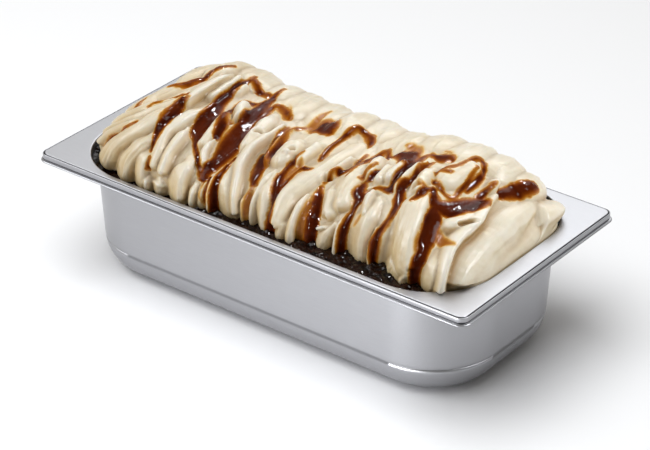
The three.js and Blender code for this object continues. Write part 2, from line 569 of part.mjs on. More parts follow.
function makeGelato() {
  const columns = gelatoColumns();
  const positions = [];
  const put = (p) => positions.push(p.x, p.y, p.z) / 3 - 1;
  const grid = columns.map((x) => {
    const column = [];
    for (let r = 0; r <= ARCH_ROWS; r += 1) column.push(put(gelatoPoint(x, (180 * r) / ARCH_ROWS)));
    return column;
  });
  const leftTip = put(heapPoint(HEAP_LEFT, 0));
  const rightTip = put(heapPoint(HEAP_RIGHT, 0));
  const triangles = [];
  for (let c = 0; c + 1 < grid.length; c += 1) {
    for (let r = 0; r < ARCH_ROWS; r += 1) {
      triangles.push(grid[c][r], grid[c + 1][r], grid[c + 1][r + 1]);
      triangles.push(grid[c][r], grid[c + 1][r + 1], grid[c][r + 1]);
    }
  }
  for (let r = 0; r < ARCH_ROWS; r += 1) {
    triangles.push(leftTip, grid[0][r], grid[0][r + 1]);
    triangles.push(rightTip, grid[grid.length - 1][r + 1], grid[grid.length - 1][r]);
  }
  const edge = [
    leftTip, ...grid.map((column) => column[0]),
    rightTip, ...grid.map((column) => column[ARCH_ROWS]).reverse(),
  ];
  const foot = [
    heapPoint(HEAP_LEFT, 0), ...columns.map((x) => heapPoint(x, 0)),
    heapPoint(HEAP_RIGHT, 0), ...columns.map((x) => heapPoint(x, 180)).reverse(),
  ];
  const lobes = edge.map((i) => new THREE.Vector3().fromArray(positions, i * 3));
  closeUnderneath(edge, lobes, foot, put, triangles);
  return bodyGeometry(positions, triangles);
}

// The gelato from the pleats' feet down: the curled-in feet, the neck inside the syrup, the
// ledge under the syrup and the body that fills the pan. The foot is the outline of the
// smooth heap, and the lobes are the pleats' own feet on it.
function closeUnderneath(edge, lobes, foot, put, triangles) {
  const bottomX = BODY_HALF.x - BODY_TAPER - CREASE_STEP - WALL_GAP;
  const bottomY = BODY_HALF.y - BODY_TAPER - CREASE_STEP - WALL_GAP;
  const levels = [
    [NECK_HALF.x, NECK_HALF.y, NECK_RADIUS, LOBE_Z],
    [NECK_HALF.x, NECK_HALF.y, NECK_RADIUS, LEDGE_Z],
    [BODY_HALF.x - WALL_GAP, BODY_HALF.y - WALL_GAP, OPENING_RADIUS, BODY_TOP_Z],
    [bottomX, bottomY, OPENING_RADIUS, CREASE_Z],
    ...[50, 90].map((angle) => {
      const inset = BASE_FILLET * (1 - Math.cos(radians(angle)));
      const z = SHEET + WALL_GAP + BASE_FILLET * (1 - Math.sin(radians(angle)));
      return [bottomX - inset, bottomY - inset, OPENING_RADIUS - inset, z];
    }),
  ];
  const outline = (halfX, halfY, radius, z) => foot.map((p) => {
    const [x, y] = roundedPointNear(p.x, p.y, halfX, halfY, radius);
    return new THREE.Vector3(x, y, z);
  });
  const neck = outline(...levels[0]);
  const curl = lobes.map((lobe, i) => {
    const reach = lobe.clone().setZ(LOBE_Z).distanceTo(neck[i]);
    const share = Math.min(LOBE_UNDERCUT / reach, 0.7);
    return lobe.clone().setZ(LOBE_Z).lerp(neck[i], share);
  });
  const rings = [edge, curl.map(put)];
  levels.forEach((level) => rings.push(outline(...level).map(put)));
  const n = edge.length;
  for (let r = 0; r + 1 < rings.length; r += 1) {
    for (let i = 0; i < n; i += 1) {
      const j = (i + 1) % n;
      triangles.push(rings[r][j], rings[r][i], rings[r + 1][i]);
      triangles.push(rings[r][j], rings[r + 1][i], rings[r + 1][j]);
    }
  }
  const base = rings[rings.length - 1];
  const hub = put(new THREE.Vector3(0, 0, SHEET + WALL_GAP));
  for (let i = 0; i < n; i += 1) triangles.push(hub, base[(i + 1) % n], base[i]);
}

// ----------------------------------------------------------------------------- the syrup
// A ring that fills the trough between the neck of the gelato and the neck of the pan.
function makeSyrup() {
  const gap = SYRUP_GAP;
  const outerX = OPENING_HALF.x - gap;
  const outerY = OPENING_HALF.y - gap;
  const innerX = NECK_HALF.x + gap;
  const innerY = NECK_HALF.y + gap;
  const innerRadius = NECK_RADIUS + gap;
  const ring = (share, z, bump = 0) => {
    const halfX = THREE.MathUtils.lerp(innerX, outerX, share);
    const halfY = THREE.MathUtils.lerp(innerY, outerY, share);
    const radius = THREE.MathUtils.lerp(innerRadius, OPENING_RADIUS - gap, share);
    const loop = roundedLoop(halfX, halfY, radius, z, SYRUP_STEPS, SYRUP_SIDE_STEPS);
    loop.forEach((p) => {
      p.z += bump * Math.sin(p.x * 0.9 + share * 9) * Math.cos(p.y * 0.8 + p.x * 0.31);
    });
    return loop;
  };
  const rings = [
    ring(1, SYRUP_TOP_Z),
    ring(0.55, SYRUP_TOP_Z, SYRUP_BUMP),
    ring(0, SYRUP_TOP_Z),
    ring(0, LEDGE_Z + gap),
    ring(0.5, LEDGE_Z + gap + 0.2),
    ring(1, RIM_Z - NECK_DEPTH + gap),
  ];
  return closedRingBody(rings);
}

// A closed loop of rings, such as the syrup's, that has no end faces.
function closedRingBody(rings) {
  const n = rings[0].length;
  const positions = rings.flatMap((ring) => ring.flatMap((p) => [p.x, p.y, p.z]));
  const triangles = [];
  rings.forEach((ring, r) => {
    const next = (r + 1) % rings.length;
    for (let i = 0; i < n; i += 1) {
      const j = (i + 1) % n;
      const [a, b, c, d] = [r * n + i, r * n + j, next * n + j, next * n + i];
      triangles.push(a, b, c, a, c, d);
    }
  });
  return bodyGeometry(positions, triangles);
}

// -------------------------------------------------------------------------- the assembly
const steel = new THREE.MeshStandardMaterial({ color: 0xc3c6cb, metalness: 1, roughness: 0.32 });
const cream = new THREE.MeshStandardMaterial({ color: 0xe6d6b8, metalness: 0, roughness: 0.55 });
const treacle = new THREE.MeshStandardMaterial({ color: 0x1d0d07, metalness: 0, roughness: 0.15 });

function piece(name, geometry, material) {
  const mesh = new THREE.Mesh(geometry, material);
  mesh.name = name;
  return mesh;
}

const filledPan = new THREE.Group();
filledPan.add(piece('pan', makePan(), steel));
filledPan.add(piece('gelato', makeGelato(), cream));
filledPan.add(piece('syrup', makeSyrup(), treacle));

export default filledPan;
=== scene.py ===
import math

import bpy
import numpy as np
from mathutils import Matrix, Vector, noise
from mathutils.bvhtree import BVHTree


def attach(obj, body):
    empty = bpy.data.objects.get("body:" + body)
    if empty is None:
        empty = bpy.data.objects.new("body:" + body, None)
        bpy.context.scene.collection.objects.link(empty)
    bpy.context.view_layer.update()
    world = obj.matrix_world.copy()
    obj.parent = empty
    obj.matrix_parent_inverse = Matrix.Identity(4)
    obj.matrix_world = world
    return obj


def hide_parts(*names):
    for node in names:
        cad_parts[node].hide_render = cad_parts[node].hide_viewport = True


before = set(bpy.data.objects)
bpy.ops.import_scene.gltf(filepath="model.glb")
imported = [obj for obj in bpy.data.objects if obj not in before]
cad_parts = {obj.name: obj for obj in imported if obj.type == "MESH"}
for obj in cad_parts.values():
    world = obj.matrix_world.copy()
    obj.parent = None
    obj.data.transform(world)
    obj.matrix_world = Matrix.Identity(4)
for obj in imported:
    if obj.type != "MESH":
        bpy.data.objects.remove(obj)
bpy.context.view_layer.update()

MM = 0.001

# ------------ pan, driving dimensions
# Lengths are in millimetres until a mesh is made. A HALF is a rectangle's (half length, half width).
SHEET = 0.8
RIM_Z = 88.0
LIP_HALF = np.array([180.0, 88.0])
LIP_RADIUS = 8.0
OPENING_HALF = np.array([163.2, 80.6])
OPENING_RADIUS = 50.0
NECK_DEPTH = 6.5
BODY_HALF = np.array([162.2, 74.4])
BODY_TOP_Z = 76.8
BODY_TAPER = 2.1
CREASE_Z = 23.4
CREASE_STEP = 0.4
CREASE_HEIGHT = 0.8
BASE_FILLET = 22.8
BASE_RADIUS = 49.0
# The flange's edge as (inset, drop below the rim), with a fine groove above and one in its side
LIP_PROFILE = [
    (3.5, 0), (3.1, 0), (2.95, 0.08), (2.8, 0.5), (1.95, 0.6), (1.8, 0.3), (1.55, 0.38), (1.35, 0.6),
    (1.3, 0.9), (1.25, 3.4), (1.35, 3.55), (2.15, 3.75), (2.15, 4.45), (1.3, 4.65), (0.8, 4.75),
    (0.35, 4.95), (0.08, 5.25), (0, 5.5), (0.08, 5.75), (0.3, 5.95), (0.7, 6.05), (1.2, 5.95),
    (3.3, 5), (3.3, 1.5), (3.9, 0.8),
]
GROOVES = [(2.8, 0.5), (1.95, 0.6), (2.15, 3.75), (2.15, 4.45)]  # the floors of the two grooves, painted dark as shade
# The mouth's rounded edge, and the flange's underside, as (step out from the mouth, drop)
MOUTH_PROFILE = [
    (0, 1.5), (0, 1.1), (0.08, 0.7), (0.3, 0.34), (0.62, 0.12), (1, 0.02), (1.3, 0), (1.7, 0),
]
UNDER_PROFILE = [(2.2, 0.8), (1.2, 1.2), (0.8, 2.2)]
# The shoulder between body and neck, as shares of its way out and up
SHOULDER_PROFILE = [
    (0.03, 0.13), (0.13, 0.3), (0.3, 0.44), (0.5, 0.55), (0.7, 0.66), (0.87, 0.78), (0.97, 0.9), (1, 1),
]
CREASE_SHARES = (0.25, 0.5, 0.75, 1.0)
WALL_SHARES = (0.04, 0.33, 0.66, 0.96, 1.0)
CORNER_STEPS = 28
FILLET_STEPS = 12
STRAIGHT_STEPS = 12

# ------------ gelato, driving dimensions
WALL_GAP = 0.6
HEAP_Z = RIM_Z - 1
HEAP_LEFT = -158.0
HEAP_RIGHT = 162.0
HEAP_FAR = 75.5
NEAR_EDGE = [  # (x, distance of the foot from the middle)
    (-158, 71.5), (-130, 73), (-118, 77.3), (-60, 77.3), (-46, 74.5), (-20, 72), (3, 70), (16, 75),
    (28, 75.5), (40, 70), (58, 70), (68, 69), (77, 66), (89, 67), (98, 65.5), (108, 69), (118, 73),
    (162, 74.5),
]
PLAN_POWER = (7.0, 6.0)  # roundness in plan of the left and the right end
END_FROM = 100.0  # the crest sinks from this distance on
END_POWER = (1.6, 1.55)
ARCH_POWER = 2.3
CREST = [  # (x, height of the crest above the heap's foot)
    (-100, 46.5), (-93, 43), (-85, 40), (-74, 37.5), (-60, 38.5), (-47, 34.5), (-36, 35.5),
    (-19, 32.5), (-11, 35), (2, 38), (10, 37.5), (22, 33.5), (33, 35.5), (43, 35), (52, 38),
    (60, 43), (75, 45.5), (90, 45.5), (100, 47),
]
VALLEY = -4.0
LOBE_UNDERCUT = 4.0
UNDERCUT_MOST = 0.7  # share of the way to the neck
CURL_RINGS = 5
LOBE_Z = RIM_Z - 5
NECK_HALF = np.array([152.5, 61.0])
NECK_RADIUS = 40.0
LEDGE_Z = 78.4
BASE_ANGLES = (50, 90)  # where the hidden foot in the pan's fillet has its rings
MM_PER_DEGREE = 1.05  # a degree of the arch on the map of (x, arch angle)
CURVE_STEPS = 5
TIP_SHARE = 0.3  # the last part of a pleat, over which it narrows and sinks
TIP_SIZE = (0.55, 0.45)  # width and rise at the tip
COLUMNS = 470
ARCH_ROWS = 184
END_COLUMNS = 30  # columns that close up towards each end, each gap END_RATIO times the one before
END_RATIO = 0.86
END_FADE = 6.0
PLEAT_POWER = (1.9, 3.4)  # roundness of the -X and the +X flank
CREST_LINE = (0.55, 1.1)  # height and half-width of the fine edge along a pleat's crest
PLEAT_BLUR = (0.5, 0.45)  # in columns and rows of the grid, as are all blurs
LEAN = 0.26  # the crests lean this much towards +X
# Noise is given as (height, size of its features, place in the noise)
WANDER_X = (1.3, 22.0, 0)
WANDER_ANGLE = (1.6, 26.0, 300)
LUMPS = [(0.35, 9.0, 900), (0.12, 3.0, -500)]
STRIPE_RISE = 0.35  # fine ridges left along each pleat, stronger at the left end
LEFT_STRIPE_RISE = 0.9
STRIPE_FROM, STRIPE_TO = -110.0, -80.0
STRIPE_MIDDLE, STRIPE_STEEPNESS = 0.5, 1.6
STRIPE_STRETCH = np.array([0.3, 0.02, 1])  # across a pleat, along it, and from pleat to pleat
FLOW_LENGTH = 60.0  # a pleat's length and the step between pleats in the flow of its streaks
FLOW_APART = 7.0
# The hollows of the gelato get painted shade, and its raised places a painted highlight
HOLLOW_BLUR = (4.0, 2.6)
HOLLOW_DEPTH = 3.0
LIT_SLANT = 0.35  # how much a turn to the right counts as a turn up, in the painted light on the gelato
LIT_RANGE = (-0.05, 0.85)
LIT_LEFT = (-80, -140)  # from here to here the painted light fades, and the left end keeps its coffee colour
LIT_LEFT_LOSS = 0.6
# Small holes where folds close: (path as (x, arch angle), radius, depth)
HOLES = [
    ([(-59.5, 78), (-58.5, 80)], 1.7, 4.5),
    ([(-38, 75.5), (-36, 76.5)], 1.5, 4),
    ([(-4, 69), (-2.5, 71)], 1.4, 3.5),
    ([(33, 63), (35, 64)], 1.6, 4),
    ([(69, 56.5), (71, 57.5)], 1.2, 3),
    ([(98, 66), (100, 68)], 1.8, 4),
    ([(136, 63), (138, 67), (140, 71)], 1.1, 4),
]
HOLE_LIP = 0.9  # height of the curled edge round a hole

# (rise, width of the -X flank, width of the +X flank, crest line as (x, arch angle))
PLEATS = [
    # left end
    (5, 9, 7, [(-146, 66), (-132, 72), (-120, 80), (-112, 92)]),
    (5, 8, 6, [(-151, 50), (-135, 55), (-120, 61), (-108, 70)]),
    (5, 7, 6, [(-150, 36), (-136, 43), (-122, 50), (-108, 60), (-101, 72)]),
    (5, 7, 5, [(-149, 20), (-144, 30), (-134, 38), (-120, 46), (-108, 55)]),
    # near side, from left to right
    (6, 14, 7, [(-131, 6), (-125, 20), (-116, 32), (-106, 44), (-99, 58), (-98, 66)]),
    (5, 11, 5, [(-108, 5), (-107, 12), (-103, 22), (-99, 31), (-95, 38)]),
    (5, 9, 4, [(-93, 5), (-94, 12), (-93, 22), (-89, 31)]),
    (6, 3.5, 3, [(-89, 4), (-89, 9)]),
    (4, 8, 5, [(-79, 5), (-79, 9)]),
    (7, 6, 4, [(-78, 20), (-79, 35), (-79, 50), (-80, 60)]),
    (6, 6, 4.5, [(-86, 22), (-87, 35), (-89, 48), (-87, 60), (-84, 72), (-84, 84)]),
    (6, 13, 5, [(-60, 6), (-61, 15), (-60, 28), (-60, 38)]),
    (6.5, 4, 3.5, [(-50, 4), (-50, 18)]),
    (4, 4, 3.5, [(-44, 4), (-44, 25)]),
    (5.5, 3.5, 3, [(-37.5, 3), (-38.5, 15), (-38.5, 30), (-37.5, 45)]),
    (4.5, 9, 6, [(-23, 6), (-26, 18), (-30, 32), (-32, 48)]),
    (7, 6, 4, [(-17, 8), (-20, 22), (-24, 35), (-28, 48), (-30, 62), (-31, 78), (-32, 90)]),
    (4.5, 4, 4, [(-10, 4), (-11, 15), (-11, 28)]),
    (5.5, 3, 3.5, [(-3.5, 4), (-3.5, 25), (-4, 42), (-3, 52)]),
    (5.5, 8, 5, [(6, 5), (4, 18), (1, 33), (0, 48)]),
    (6.5, 7, 9, [(19, 12), (18, 28), (18, 42), (21, 58), (24, 72), (24, 86), (22, 97)]),
    (5, 6, 5, [(24, 5), (25, 12), (26, 20)]),
    (6, 4, 3.5, [(31, 4), (31.5, 20), (31.5, 35), (31, 46)]),
    (4, 6, 6, [(40, 5), (39, 20), (38, 34)]),
    (6.5, 12, 9, [(57, 42), (54, 52), (51, 63), (47, 75), (44, 86)]),
    (6, 5, 8, [(50, 32), (46, 44), (42, 57)]),
    (5, 6, 6, [(54, 5), (55, 12), (60, 22)]),
    (6.5, 3, 3, [(50, 16), (55, 19)]),
    (5.5, 3, 3, [(64, 4), (64, 18), (66, 34)]),
    (6, 10, 6, [(83, 6), (82, 20), (82, 35), (81, 50)]),
    (7, 3.5, 3, [(78, 35), (76, 45), (74, 55)]),
    (5.5, 4, 3, [(91, 4), (91, 15), (90, 28)]),
    (3.5, 3, 3, [(96, 7), (95.5, 20), (95.5, 36)]),
    (6.5, 19, 5, [(123, 14), (120, 28), (116, 42), (113, 55), (110, 68)]),
    (4.5, 11, 9, [(112, 4), (114, 8)]),
    (5, 4, 3, [(121, 3), (124, 8)]),
    (5.5, 7.5, 3.5, [(139, 5), (139, 20), (138.5, 38)]),
    (9.5, 5.5, 4, [(144.5, 2), (144, 20), (142.5, 36), (141, 50), (140.5, 65), (139.5, 77), (138.3, 88),
                   (136, 96)]),
    (5.5, 8, 8, [(154, 14), (154, 45), (153, 70), (151, 95), (149, 125)]),
    (7.5, 10, 6, [(157.5, 128), (156, 148), (151, 175)]),
    # top, from left to right
    (7, 3.5, 3.5, [(-95, 74), (-96, 90), (-96, 106)]),
    (6, 4, 3.5, [(-89, 88), (-90, 100), (-92, 112)]),
    (5, 4, 4, [(-82, 97), (-83, 107)]),
    (6.5, 4.5, 4.5, [(-61, 83), (-66, 88), (-70, 93)]),
    (5.5, 5, 5, [(-62, 54), (-64, 64), (-68, 76), (-72, 85)]),
    (6, 3, 3, [(-53, 38), (-56, 48), (-57, 60)]),
    (6, 6, 8, [(-36, 66), (-40, 75), (-44, 86), (-47, 94)]),
    (5.5, 2.5, 2.5, [(-14, 57), (-19, 66), (-22, 78), (-25, 91)]),
    (6.5, 9, 9, [(-6, 64), (-8, 72), (-11, 82)]),
    (8, 3, 3, [(-3, 66), (0, 66)]),
    (6, 5, 5, [(7, 68), (8, 78), (8, 85)]),
    (6, 4, 4, [(33, 67), (34, 78), (35, 85)]),
    (6.5, 6, 6, [(60, 70), (57, 79), (51, 87)]),
    (5, 4, 4, [(71, 65), (70, 74), (68, 80)]),
    (6, 4, 4, [(76, 68), (76, 78), (75, 86)]),
    (7, 3, 3, [(87, 64), (86, 78), (86, 90)]),
    (6, 6, 7, [(100, 68), (97, 78), (95, 86)]),
    (6, 10, 10, [(109, 86), (111, 96), (112, 104)]),
    (6.5, 6, 5, [(133, 60), (136, 70), (137, 82)]),
    (7, 4, 4, [(131, 97), (128, 103)]),
]

# Far side: (x at the top, x at the foot, top angle, half-width)
FAR_PLEATS = [
    (-128, -140, 100, 12), (-108, -121, 107, 14), (-86, -100, 118, 15), (-64, -80, 119, 15),
    (-42, -60, 110, 15), (-20, -40, 113, 15), (2, -18, 110, 16), (25, 6, 118, 16), (49, 30, 110, 17),
    (74, 56, 116, 17), (98, 81, 110, 17), (121, 106, 118, 15), (138, 126, 124, 12),
]
FAR_FOOT = 174.0
FOOT_ANGLE = 10.0  # a crest line that starts below this angle runs on to the foot
FOOT_EXTRA = 4.0
FAR_RISE = 5.4

# ------------ caramel, driving dimensions
SPREAD = 0.3  # how far the sauce has run past its ribbons
RAGGED = (0.3, 6.0, 70)  # how far its edge wanders
SUNK_BLUR = (3.6, 2.4)
SUNK_PULL = 0.2  # how far it spreads for each mm that a place lies below the places round it
SUNK_RANGE = (-1.2, 1.6)
EDGE_FILM = 0.3  # thickness near the edge
MIDDLE_FILM = 0.7  # what the middle of a ribbon adds to it
FILM_CHANGE = (0.45, 16.0, 210)  # as a share of the thickness
RIPPLE = (0.14, 3.2, 150)
HALO = (0.6, 4.0, 40)  # how far the stained edge wanders
# How far inside a ribbon's edge each of these starts and is full
EDGE_RANGE = (0, 1.2)
MIDDLE_RANGE = (0.9, 4.0)
POOL_RANGE = (0.3, 2.4)
RIPPLE_RANGE = (0.4, 1.6)
HALO_RANGE = (-1.3, 0.4)
DARK_RANGE = (0.2, 1.4)
GLAZE_RANGE = (-1.2, 3)
AMBER = 0.6  # the stain of a thin film; above it the stain turns dark
GLAZE_SHARE = 0.9
OUTSIDE_SLOPE = 0.45  # how fast the film goes below the gelato outside a ribbon
OUTSIDE_MOST = -2
CARAMEL_BLUR = (0.7, 0.5)
CARAMEL_EDGE = -0.5  # the film ends where it is this far below the gelato
CARAMEL_SUNK = 1.2  # depth of its hidden underside
CARAMEL_FULL = 3.0  # thickness at the end of its colours
# Each ribbon is a path of (x, arch angle, half-width).
DRIZZLE = [
    # left end
    [(-144, 8, 0.9), (-141, 21, 1), (-137, 29, 1.1), (-129, 34, 0.9), (-122, 40, 0.7), (-115, 46, 0.5)],
    [(-138, 61, 0.5), (-134, 65, 0.7), (-130, 69, 0.5)],
    [(-116, 60, 0.5), (-112, 68, 0.9), (-108, 75, 1.2), (-103, 80, 1)],
    [(-119, 80, 0.8), (-113, 86, 2.2), (-109, 94, 2.6), (-105, 103, 2.2), (-101, 112, 1.2)],
    [(-100, 75, 1.5), (-98, 72, 2.6), (-97, 66, 3.6), (-96, 58, 3.8), (-95, 50, 3.2), (-94, 43, 2.2),
     (-93, 36, 1.4), (-92, 30, 0.9)],
    [(-90, 25, 0.6), (-90, 19, 0.9), (-90.5, 14, 0.5)],
    # the first long run and the line along the crest
    [(-86, 112, 1.6), (-86.3, 105, 2), (-85.7, 101, 2.1), (-84.3, 96, 2.4), (-83, 91, 3.2),
     (-80, 82, 4.4), (-76.5, 72, 5.2), (-74.5, 63, 4.4), (-70, 55.5, 2.6), (-66, 49, 1.6),
     (-60, 43.5, 1.3), (-55.7, 38.5, 1.2), (-51.5, 32.5, 1.4), (-49, 27, 1.6)],
    [(-87, 117, 0.8), (-86, 113, 1.8), (-82.5, 111.5, 2.2), (-79, 110.5, 2), (-75, 109.5, 1.8),
     (-70.5, 109, 1.8), (-66, 108, 1.6)],
    # the strand beside it
    [(-69, 96, 0.8), (-73.5, 96.5, 1), (-73.8, 92.5, 1.1), (-71.5, 86.5, 1.5), (-69.5, 81, 2),
     (-66, 75.5, 2.8), (-61.5, 69, 3.2), (-58, 63.5, 3)],
    [(-70, 96, 1.2), (-66.5, 95.5, 1.8), (-64, 97, 1.2)],
    # the widest run
    [(-62, 118, 0.7), (-61.5, 112, 1.6), (-61, 106, 2.8), (-60, 100, 4), (-57, 93, 5), (-55, 87.5, 4.8),
     (-53, 81.5, 4.6), (-51, 75, 4.8), (-48.5, 66, 6), (-45.5, 58, 6.4), (-45, 50, 5.4), (-46, 42, 4.2),
     (-48, 34, 3.2), (-47.5, 26, 2.8)],
    [(-43, 30, 1.6), (-41.5, 22, 1.3), (-41, 12, 1.2), (-40, 3, 1.2)],
    [(-36.5, 54, 0.8), (-36, 45, 1.4), (-36, 35, 1.8), (-35.8, 25, 2.2), (-35.3, 14, 2.4), (-34, 0, 2.4)],
    [(-50, 88, 0.8), (-51, 93, 1), (-53, 98.5, 1.2), (-52.3, 103.5, 1.3), (-47.5, 102, 1.8),
     (-43, 100, 2.2), (-39, 98, 2), (-36, 97, 1.2)],
    # the twin strands that end in a pool
    [(-29, 91, 0.6), (-28, 86, 0.9), (-24, 77, 0.9), (-21, 70, 1), (-19, 63, 1.4)],
    [(-22, 97, 0.8), (-26, 91, 1.2), (-22, 81.5, 1.5), (-18, 70.5, 1.3), (-16, 63.5, 1.2),
     (-13.5, 56, 1.2)],
    [(-22, 66, 1.2), (-20, 60, 2.4), (-16.5, 51, 3.6), (-14.5, 44, 3.6), (-12.5, 37, 2.6)],
    # the dark side of the pool on the crest
    [(-14, 97, 3.6), (-10, 100, 5.4), (-6, 99.5, 5.8), (-2, 98, 4.8), (1, 95, 2.6)],
    # the run with a hooked branch
    [(6, 70, 1), (4.5, 64, 1.6), (3.5, 56, 2.2), (4.5, 48.5, 2.8), (6, 41, 3), (9, 31, 3),
     (12.5, 20, 3.4), (13.5, 11, 3.6), (14, 0, 3.4)],
    [(17.5, 66, 1.8), (14, 65, 1.2), (11.5, 61, 1.1), (10.5, 54, 1.2), (9.5, 47, 1.4), (8, 41, 1.6)],
    # the first loop on the crest
    [(17, 77, 0.9), (15.5, 82, 1.2), (13.5, 88, 1.8), (12.5, 93, 2.1), (12, 98, 2.2), (12, 103, 2),
     (13, 106, 1.8), (16, 108.5, 1.6), (20, 107.5, 1.8), (24, 106, 2.6), (28, 101, 1.6), (30, 98, 0.8)],
    [(36.5, 91, 0.7), (39.5, 85, 1.3), (42, 80, 1.7), (43, 75, 2), (41.5, 71.5, 2.4), (37, 69.5, 2),
     (34.5, 66, 1), (34, 60, 0.8)],
    # the broad fan below it
    [(34, 56, 1.2), (36, 50, 2), (38.5, 43, 2.8), (41, 31, 3.6), (43, 18, 3.8), (43.5, 6, 3.8),
     (43.5, 0, 3.8)],
    # the second loop and its pool
    [(47.5, 65.5, 0.8), (47, 72, 1.3), (45.5, 80, 1.9), (44.3, 87, 2.3), (43.5, 92, 2), (43, 96, 1.6),
     (46, 97, 1.5), (50, 94, 1.5), (54, 91, 1.6), (57, 88.5, 1.2)],
    [(57, 90, 1.6), (61, 93, 3.4), (66, 94, 5.2), (71, 91, 5.8), (75, 87, 4.6), (77, 83, 2)],
    # the run that hooks down from it, and the one it meets
    [(79, 98, 0.9), (79, 93, 1.8), (79.5, 88, 2.4), (80.5, 82.5, 2.4), (80.5, 78, 1.8), (81.5, 72, 2.4),
     (83.5, 66, 3.2), (82.5, 61, 2.6), (78, 60, 1.8), (74, 59.5, 1.3), (71.5, 56, 1.2), (69, 51, 1)],
    [(62.5, 62, 1.2), (64, 57, 2.6), (65.5, 52, 3.6), (68, 47, 2.8), (68.3, 40, 1.7), (68.7, 31, 2),
     (68.6, 24, 2.4), (68.5, 16, 2.7), (69, 7, 2.7), (69, 0, 2.6)],
    [(62.5, 64, 0.8), (65.5, 69.5, 1.6), (66.5, 76, 1)],
    [(58.5, 64, 0.7), (60.5, 70, 0.8), (61.5, 76, 0.7)],
    # the next run, from the crest to the foot
    [(88, 93, 0.8), (88, 87, 1), (89.5, 80, 0.9), (90, 74, 0.8), (89.3, 68, 1.4), (90.7, 62, 2.4),
     (92.8, 56.5, 3.3), (95, 50, 2.8), (95, 44, 2.2), (95, 37.5, 1.9), (94.3, 30, 2.2), (93.3, 23, 2.8),
     (92.6, 16, 3.4), (93, 9, 3.4), (93.5, 2, 2.4)],
    [(80.5, 99, 1.2), (85, 99, 2.2), (89, 98.5, 3), (93, 98, 3), (97, 98, 2), (100, 97, 1)],
    [(109, 74, 0.7), (107, 70, 1.8), (105.5, 64, 2.4), (105, 60.5, 2.2), (103.5, 57, 1.2)],
    # the loop round the flat lobe
    [(102.5, 83, 0.9), (102, 87, 1.1), (104, 89.3, 1.2), (108, 91.5, 1), (108.3, 95, 1), (108, 100, 1.1),
     (108.5, 105, 1.3), (110.5, 108.5, 1.5), (113.5, 108.5, 1.6), (117, 106, 1.5), (119.5, 102.5, 1.6),
     (121.3, 98, 1.9), (123, 93, 1.8), (124, 88, 1.2)],
    [(104, 86, 0.6), (107, 86.5, 1.2), (109, 87, 1)],
    [(116, 99, 0.8), (118, 94, 1.1), (120.2, 89.5, 1.2), (121.5, 84, 1.1), (122.3, 78, 1.2),
     (118, 77, 0.9), (113, 77.5, 0.9), (108, 78, 0.8), (105.3, 78.5, 0.8)],
    # the pool at the right and its run to the foot
    [(109.5, 74, 1.6), (113, 70.5, 3.2), (119, 67.5, 4.8), (125, 70, 6), (129, 76, 6), (132.5, 83, 5),
     (135.5, 88, 3)],
    [(118.5, 66, 3), (121.5, 61, 4.6), (123, 56.5, 5.2), (125, 51, 5), (126.5, 45, 5.2), (127.3, 38, 4.6),
     (128.3, 31, 3.6), (128.3, 23, 3.6), (127.6, 15, 3.2), (127.5, 7, 3), (127.5, 0, 3)],
    [(130, 98, 1), (130.5, 94, 1.4), (131, 90, 2.2)],
    # the oval pool
    [(136, 99, 1.2), (136.8, 103, 3.2), (138, 109, 4.4), (139, 116, 4.8), (140, 123, 4.6), (141, 130, 3)],
]
# Thin places, where the gelato shows through
GLAZE = [
    [(-119, 80, 1.5), (-113, 86, 3), (-109, 94, 3.4), (-105, 103, 3), (-101, 112, 2)],
    [(-100, 76, 2.4), (-97, 66, 4.6), (-95, 52, 4), (-93, 38, 2)],
    [(-47, 25, 2), (-45, 16, 1.8), (-45, 9, 1.5), (-42, 3, 1.2), (-40, -1, 1)],
    [(-62, 76, 3.6), (-58, 66, 4)],
    [(-47, 107, 0.6), (-43, 104, 1.2), (-40, 101, 1.2)],
    [(-22, 118, 1.6), (-21, 108, 3.6), (-18, 99, 4.6), (-10, 103, 6.4), (-3, 101, 5.6), (2, 96, 3)],
    [(-12.5, 37, 2.6), (-11, 28, 2.8), (-9.5, 18.5, 3.2), (-9, 8, 3), (-8.5, 0, 2.6)],
    [(10, 66, 2.2), (8, 58, 3), (7, 50, 3)],
    [(33.5, 56, 1.2), (34.5, 50, 2.4), (36.5, 43, 3.6), (38.3, 31, 5), (40, 18, 5.8), (40.5, 6, 5.8),
     (40.5, 0, 5.6)],
    [(58, 101, 2), (64, 101, 4), (70, 97, 5), (76, 91, 4)],
    [(77, 40, 0.7), (76.5, 34, 1.6), (75.5, 28, 2.2), (74.5, 23, 1.2)],
    [(86, 105, 1.4), (91, 103, 2), (96, 100, 1.6)],
    [(98, 70, 1.6), (103, 69, 3), (107, 72, 2)],
    [(121, 42, 1.4), (122, 36, 2), (123.5, 30, 2), (126, 25, 1.6)],
    [(126, 54, 4), (131, 50, 5), (136, 47, 4.4), (140, 47, 2)],
]

# ------------ syrup, driving dimensions
SYRUP_GAP = 0.4
SYRUP_DROP = 5.7
NEAR_DROP = [  # (x, drop of the syrup below the rim on the near side)
    (-160, 5.7), (-60, 5), (-20, 3), (10, 2), (38, 1), (104, 1), (125, 3), (150, 5.7),
]
NEAR_FROM, NEAR_FULL = -40, -60  # y over which the level changes to that of the near side
SYRUP_BANK = 3.0  # how much higher the near side's syrup is against the gelato
SYRUP_LEAST = 0.25
SYRUP_SWELL = (0.5, 12.0, 0)
SYRUP_ACROSS = 30
SYRUP_AROUND = 1400
GUIDE_OVAL = (170.0, 85.0)  # an oval, pressed into a box, spaces the points round the trough
GUIDE_BOX = (165.0, 80.0)
CRUMB = 3.0
CRUMB_RISE = 2.4
CRUMB_DOME = (0.6, 1.3)  # share of the rise that is dome, and its steepness
CRUMB_SHIFT = 0.4  # share of the rise by which crumbs differ in height
CRUMB_MIDDLE = 0.45
CRUMB_SEED = 7

